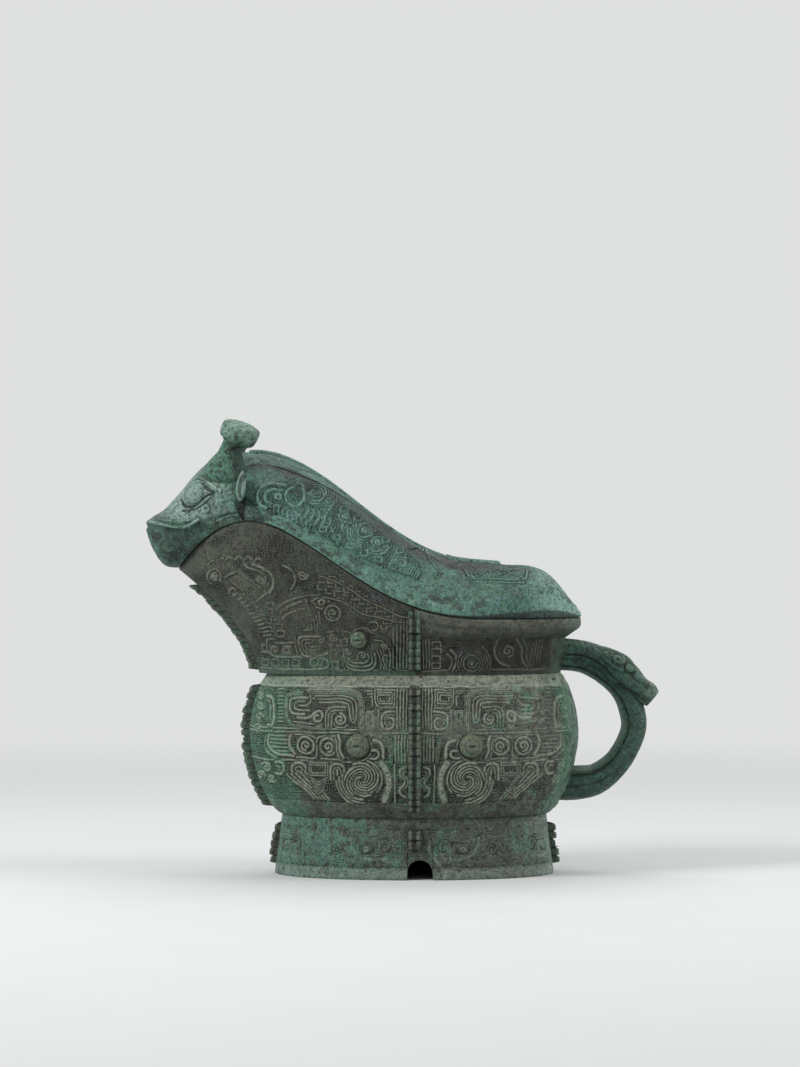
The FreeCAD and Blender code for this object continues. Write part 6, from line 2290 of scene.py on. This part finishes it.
    def ear(self, side: Side) -> bpy.types.Object:
        """Build a thin cupped ear that stands out of the cheek."""
        lv = self.levels
        up = np.linspace(0, 1, 90)
        turn = full_turn(84)
        reach = 8.8 * np.sin(np.pi * up**0.75) ** 0.9 * (1 - 0.35 * smooth((up - 0.6) / 0.4)) + 0.05
        thick = 2.6 * (np.sin(np.pi * up**0.9) ** 0.6) + 0.05
        out = np.cos(turn)[None, :] * reach[:, None]
        across = np.sin(turn)[None, :] * thick[:, None] * (1 - 0.25 * np.cos(turn)[None, :])
        front = np.sin(turn)[None, :] < 0
        cup = 1.9 * hill((out - 3.2) / 3.0) * smooth(np.sin(np.pi * up) * 1.4)[:, None] * front
        z = lv.crest + 11.5 + 18.0 * up[:, None]
        x = -99.6 + across + cup + 1.2 * up[:, None] + 0.18 * out
        y = -(36.4 - 6.0 * up[:, None]) - out
        grid = np.stack([x, y, np.broadcast_to(z, x.shape)], 2)
        grid = grid + 0.14 * clouds(grid, 2.6, 111, 2)[..., None] * (1, 0.4, 0)
        marks = np.clip(0.5 - cup, -1, 1)
        return loft_piece(f"beast_ear_{side.value}", mirrored(grid, side), relief=marks, moss=0.3, pale=0.5)


class SpineBand:
    """Raised band on the cover's spine, with its cut pattern."""

    def __init__(self, roof: CoverRoof) -> None:
        """Keep the roof that carries it."""
        self.roof = roof

    def build(
        self, name: str, front: float, back: float, width: float, height: float, teeth: float
    ) -> bpy.types.Object:
        """Build a strip along the spine with a cut pattern of the given pitch."""
        x = np.linspace(front, back, int((back - front) / 0.34))
        half = width / 2
        across = np.concatenate([[-half, -half], np.linspace(-half, half, 41), [half, half]])
        rise = np.concatenate([[-1.2, 0.0], np.full(41, 1.0), [0.0, -1.2]])
        gx, gy = np.meshgrid(x, across, indexing="ij")
        phase = np.abs((gx / teeth) % 1 - 0.5) * 2
        u = np.abs(gy) / half
        line = hill((u - 0.78) / 0.09) + hill((u - 0.72 * phase) * half / 0.34) * (u < 0.74)
        ends = smooth((gx - front) / 0.8) * smooth((back - gx) / 0.8)
        top = np.where(rise > 0.5, height - 0.45 * line * ends - 0.25 * u**6, rise)
        gz = self.roof.surface(gx, gy) + np.where(
            rise[None, :] > 0.5, top * (0.35 + 0.65 * ends), rise[None, :]
        )
        grid = np.stack([gx, gy, gz], 2)
        grid = grid + 0.12 * clouds(grid, 3.0, 121, 2)[..., None] * (0, 0, 1)
        marks = np.clip(np.where(rise[None, :] > 0.5, 0.4 - 1.2 * line, 0.0) + 0 * gx, -1, 1)
        return loft_piece(name, grid, relief=marks, moss=0.3, pale=0.5)


@dataclass
class Body:
    """One rigid body of the model: dresses its pieces and hands them to the frame."""

    name: str

    def take(self, obj: bpy.types.Object, finish: Patina, slot: str, *nodes: str) -> None:
        """Give a piece its finish and body, and hide the nodes that it stands for."""
        dress(obj, finish)
        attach(obj, self.name)
        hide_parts(*nodes)
        LOG.info("piece %s: %d faces", obj.name, len(obj.data.polygons))


class Vessel(Body):
    """The vessel below the cover: foot, belly, neck, ribs, bosses and handle."""

    def build(self, levels: Levels) -> None:
        """Build and dress the vessel."""
        foot = FootWall(levels)
        for side in Side:
            self.take(foot.build(side), FOOT, "foot_bronze", "foot_ring")
        belly = BellyWall(levels)
        neck = NeckWall(levels)
        for side in Side:
            for end in End:
                self.take(belly.build(side, end), BELLY, "belly_bronze", "belly_bowl")
                self.take(neck.build(side, end), NECK, "neck_bronze", "neck_and_spout")
        self.take(belly.floor(), BELLY, "belly_bronze", "belly_bowl")
        for piece, owner in Ribs(levels, foot, belly, neck).build():
            self.take(piece, FLANGE, "flange_bronze", owner)
        bosses = Bosses(belly, neck)
        for side in Side:
            for piece, owner in bosses.build(side):
                self.take(piece, BOSS, "boss_bronze", owner)
        handle = Handle(levels)
        self.take(handle.loop(), HANDLE, "handle_bronze", "handle_loop")
        self.take(handle.head(), HANDLE, "handle_bronze", "handle_head")


class Cover(Body):
    """The cover: roof, spine bands, head, horns, ears, eyes and tongue."""

    def build(self, levels: Levels, tongue: bpy.types.Object) -> None:
        """Build and dress the cover, and dress the tongue that it keeps."""
        roof = CoverRoof(levels)
        for side in Side:
            for end in End:
                self.take(roof.build(side, end), COVER, "cover_bronze", "cover_shell")
        band = SpineBand(roof)
        self.take(band.build("spine_band", -96.0, 19.4, 9.0, 1.3, 7.2), COVER, "cover_bronze", "dorsal_band")
        self.take(
            band.build("rear_crest_band", 19.4, 52.0, 17.0, 1.8, 10.8), COVER, "cover_bronze", "rear_crest"
        )
        head = BeastHead(levels)
        self.take(head.build(), HEAD, "head_bronze", "cover_head")
        for side in Side:
            self.take(head.eye(side), HEAD, "head_bronze", f"eye_{side.value}")
            self.take(head.ear(side), HEAD, "head_bronze", f"ear_{side.value}")
            self.take(head.horn(side), HORN, "horn_bronze", f"horn_{side.value}")
        dress(tongue, TONGUE)


# Studio


@dataclass(frozen=True)
class Studio:
    """Camera, lamps and floor."""

    distance: float = 2.2
    aim_x: float = -0.00706
    aim_z: float = 0.199
    frame_height: float = 0.6274
    sky: str = "f0f4f6"
    sky_strength: float = 0.42
    paper: str = "dfe0e0"

    def build(self) -> None:
        """Set up the camera, the lamps and the floor."""
        scene = bpy.context.scene
        data = bpy.data.cameras.new("camera")
        data.sensor_fit = "VERTICAL"
        data.angle = 2 * math.atan(self.frame_height / 2 / self.distance)
        camera = bpy.data.objects.new("camera", data)
        camera.location = (self.aim_x, -self.distance, self.aim_z)
        camera.rotation_euler = (math.pi / 2, 0, 0)
        scene.collection.objects.link(camera)
        scene.camera = camera
        scene.view_settings.view_transform = "Standard"
        self.lamp("key", (-1.45, -0.85, 1.2), 0.7, 27.0)
        self.lamp("rim", (1.2, -0.25, 0.9), 0.7, 9.0)
        self.lamp("top", (-0.1, 0.5, 1.5), 0.9, 8.0)
        world = bpy.data.worlds.new("studio")
        world.use_nodes = True
        tree = world.node_tree
        back = tree.nodes["Background"]
        seen = self.seen(tree)
        tree.links.new(blend(tree, seen, self.sky, self.paper).link, back.inputs["Color"])
        tree.links.new((seen * (1 - self.sky_strength) + self.sky_strength).link, back.inputs["Strength"])
        scene.world = world
        self.floor()

    @staticmethod
    def seen(tree: bpy.types.NodeTree) -> Sock:
        """Whether a ray comes from the camera, straight or by way of metal or glass."""
        kinds = [node(tree, "ShaderNodeLightPath", {}, {}, f"Is {kind} Ray") for kind in (
            "Camera", "Glossy", "Transmission"
        )]
        return (kinds[0] + kinds[1] + kinds[2]).clamp()

    def lamp(self, name: str, place: tuple[float, float, float], size: float, power: float) -> None:
        """Add a square soft lamp that points at the vessel."""
        data = bpy.data.lights.new(name, "AREA")
        data.size = size
        data.energy = power
        obj = bpy.data.objects.new(name, data)
        obj.location = place
        aim = Vector((0, 0, 0.12)) - Vector(place)
        obj.rotation_euler = aim.to_track_quat("-Z", "Y").to_euler()
        bpy.context.scene.collection.objects.link(obj)

    def floor(self) -> None:
        """Add the pale floor."""
        mesh = bpy.data.meshes.new("floor")
        reach = 4.0
        mesh.from_pydata([
            (-reach, -reach, 0), (reach, -reach, 0), (reach, reach, 0), (-reach, reach, 0),
        ], [], [(0, 1, 2, 3)])
        obj = bpy.data.objects.new("floor", mesh)
        bpy.context.scene.collection.objects.link(obj)
        material = bpy.data.materials.new("floor_paper")
        material.use_nodes = True
        tree = material.node_tree
        shader = tree.nodes["Principled BSDF"]
        place = node(tree, "ShaderNodeTexCoord", {}, {}, "Object")
        grain = node(tree, "ShaderNodeTexNoise", {}, {"Vector": place, "Scale": 14.0, "Detail": 3.0}, 0)
        colour = blend(tree, grain, "d3d4d4", "d8d9d9")
        tree.links.new(colour.link, shader.inputs["Base Color"])
        shader.inputs["Roughness"].default_value = 0.85
        away = node(
            tree, "ShaderNodeVectorMath", {"operation": "LENGTH"}, {0: place}, "Value"
        ).ramp(0.35, 1.5)
        glow = node(tree, "ShaderNodeEmission", {}, {"Color": tint(self.paper), "Strength": 1.0}, 0)
        lit = Sock(tree, shader.outputs["BSDF"])
        joined = node(tree, "ShaderNodeMixShader", {}, {0: away * self.seen(tree), 1: lit, 2: glow}, 0)
        tree.links.new(joined.link, tree.nodes["Material Output"].inputs["Surface"])
        mesh.materials.append(material)


def main() -> None:
    """Build every piece over the frame and set up the studio."""
    logging.basicConfig(level=logging.INFO, format="%(name)s: %(message)s")
    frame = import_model()
    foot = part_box("foot_ring")
    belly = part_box("belly_bowl")
    foot_top, top = float(foot[1][2]) / MM, float(belly[1][2]) / MM
    levels = Levels(
        foot_top=foot_top,
        widest=foot_top + WIDEST_RISE,
        shoulder=top - SHOULDER_DROP,
        neck=top,
        rim=top + RIM_RISE,
        crest=top + CREST_RISE,
        tip=top + TIP_RISE,
    )
    LOG.info("levels %s", levels)
    Vessel("vessel").build(levels)
    Cover("cover").build(levels, frame["nodes"]["cover_tongue"])
    Studio().build()


if __name__ == "__main__":
    main()
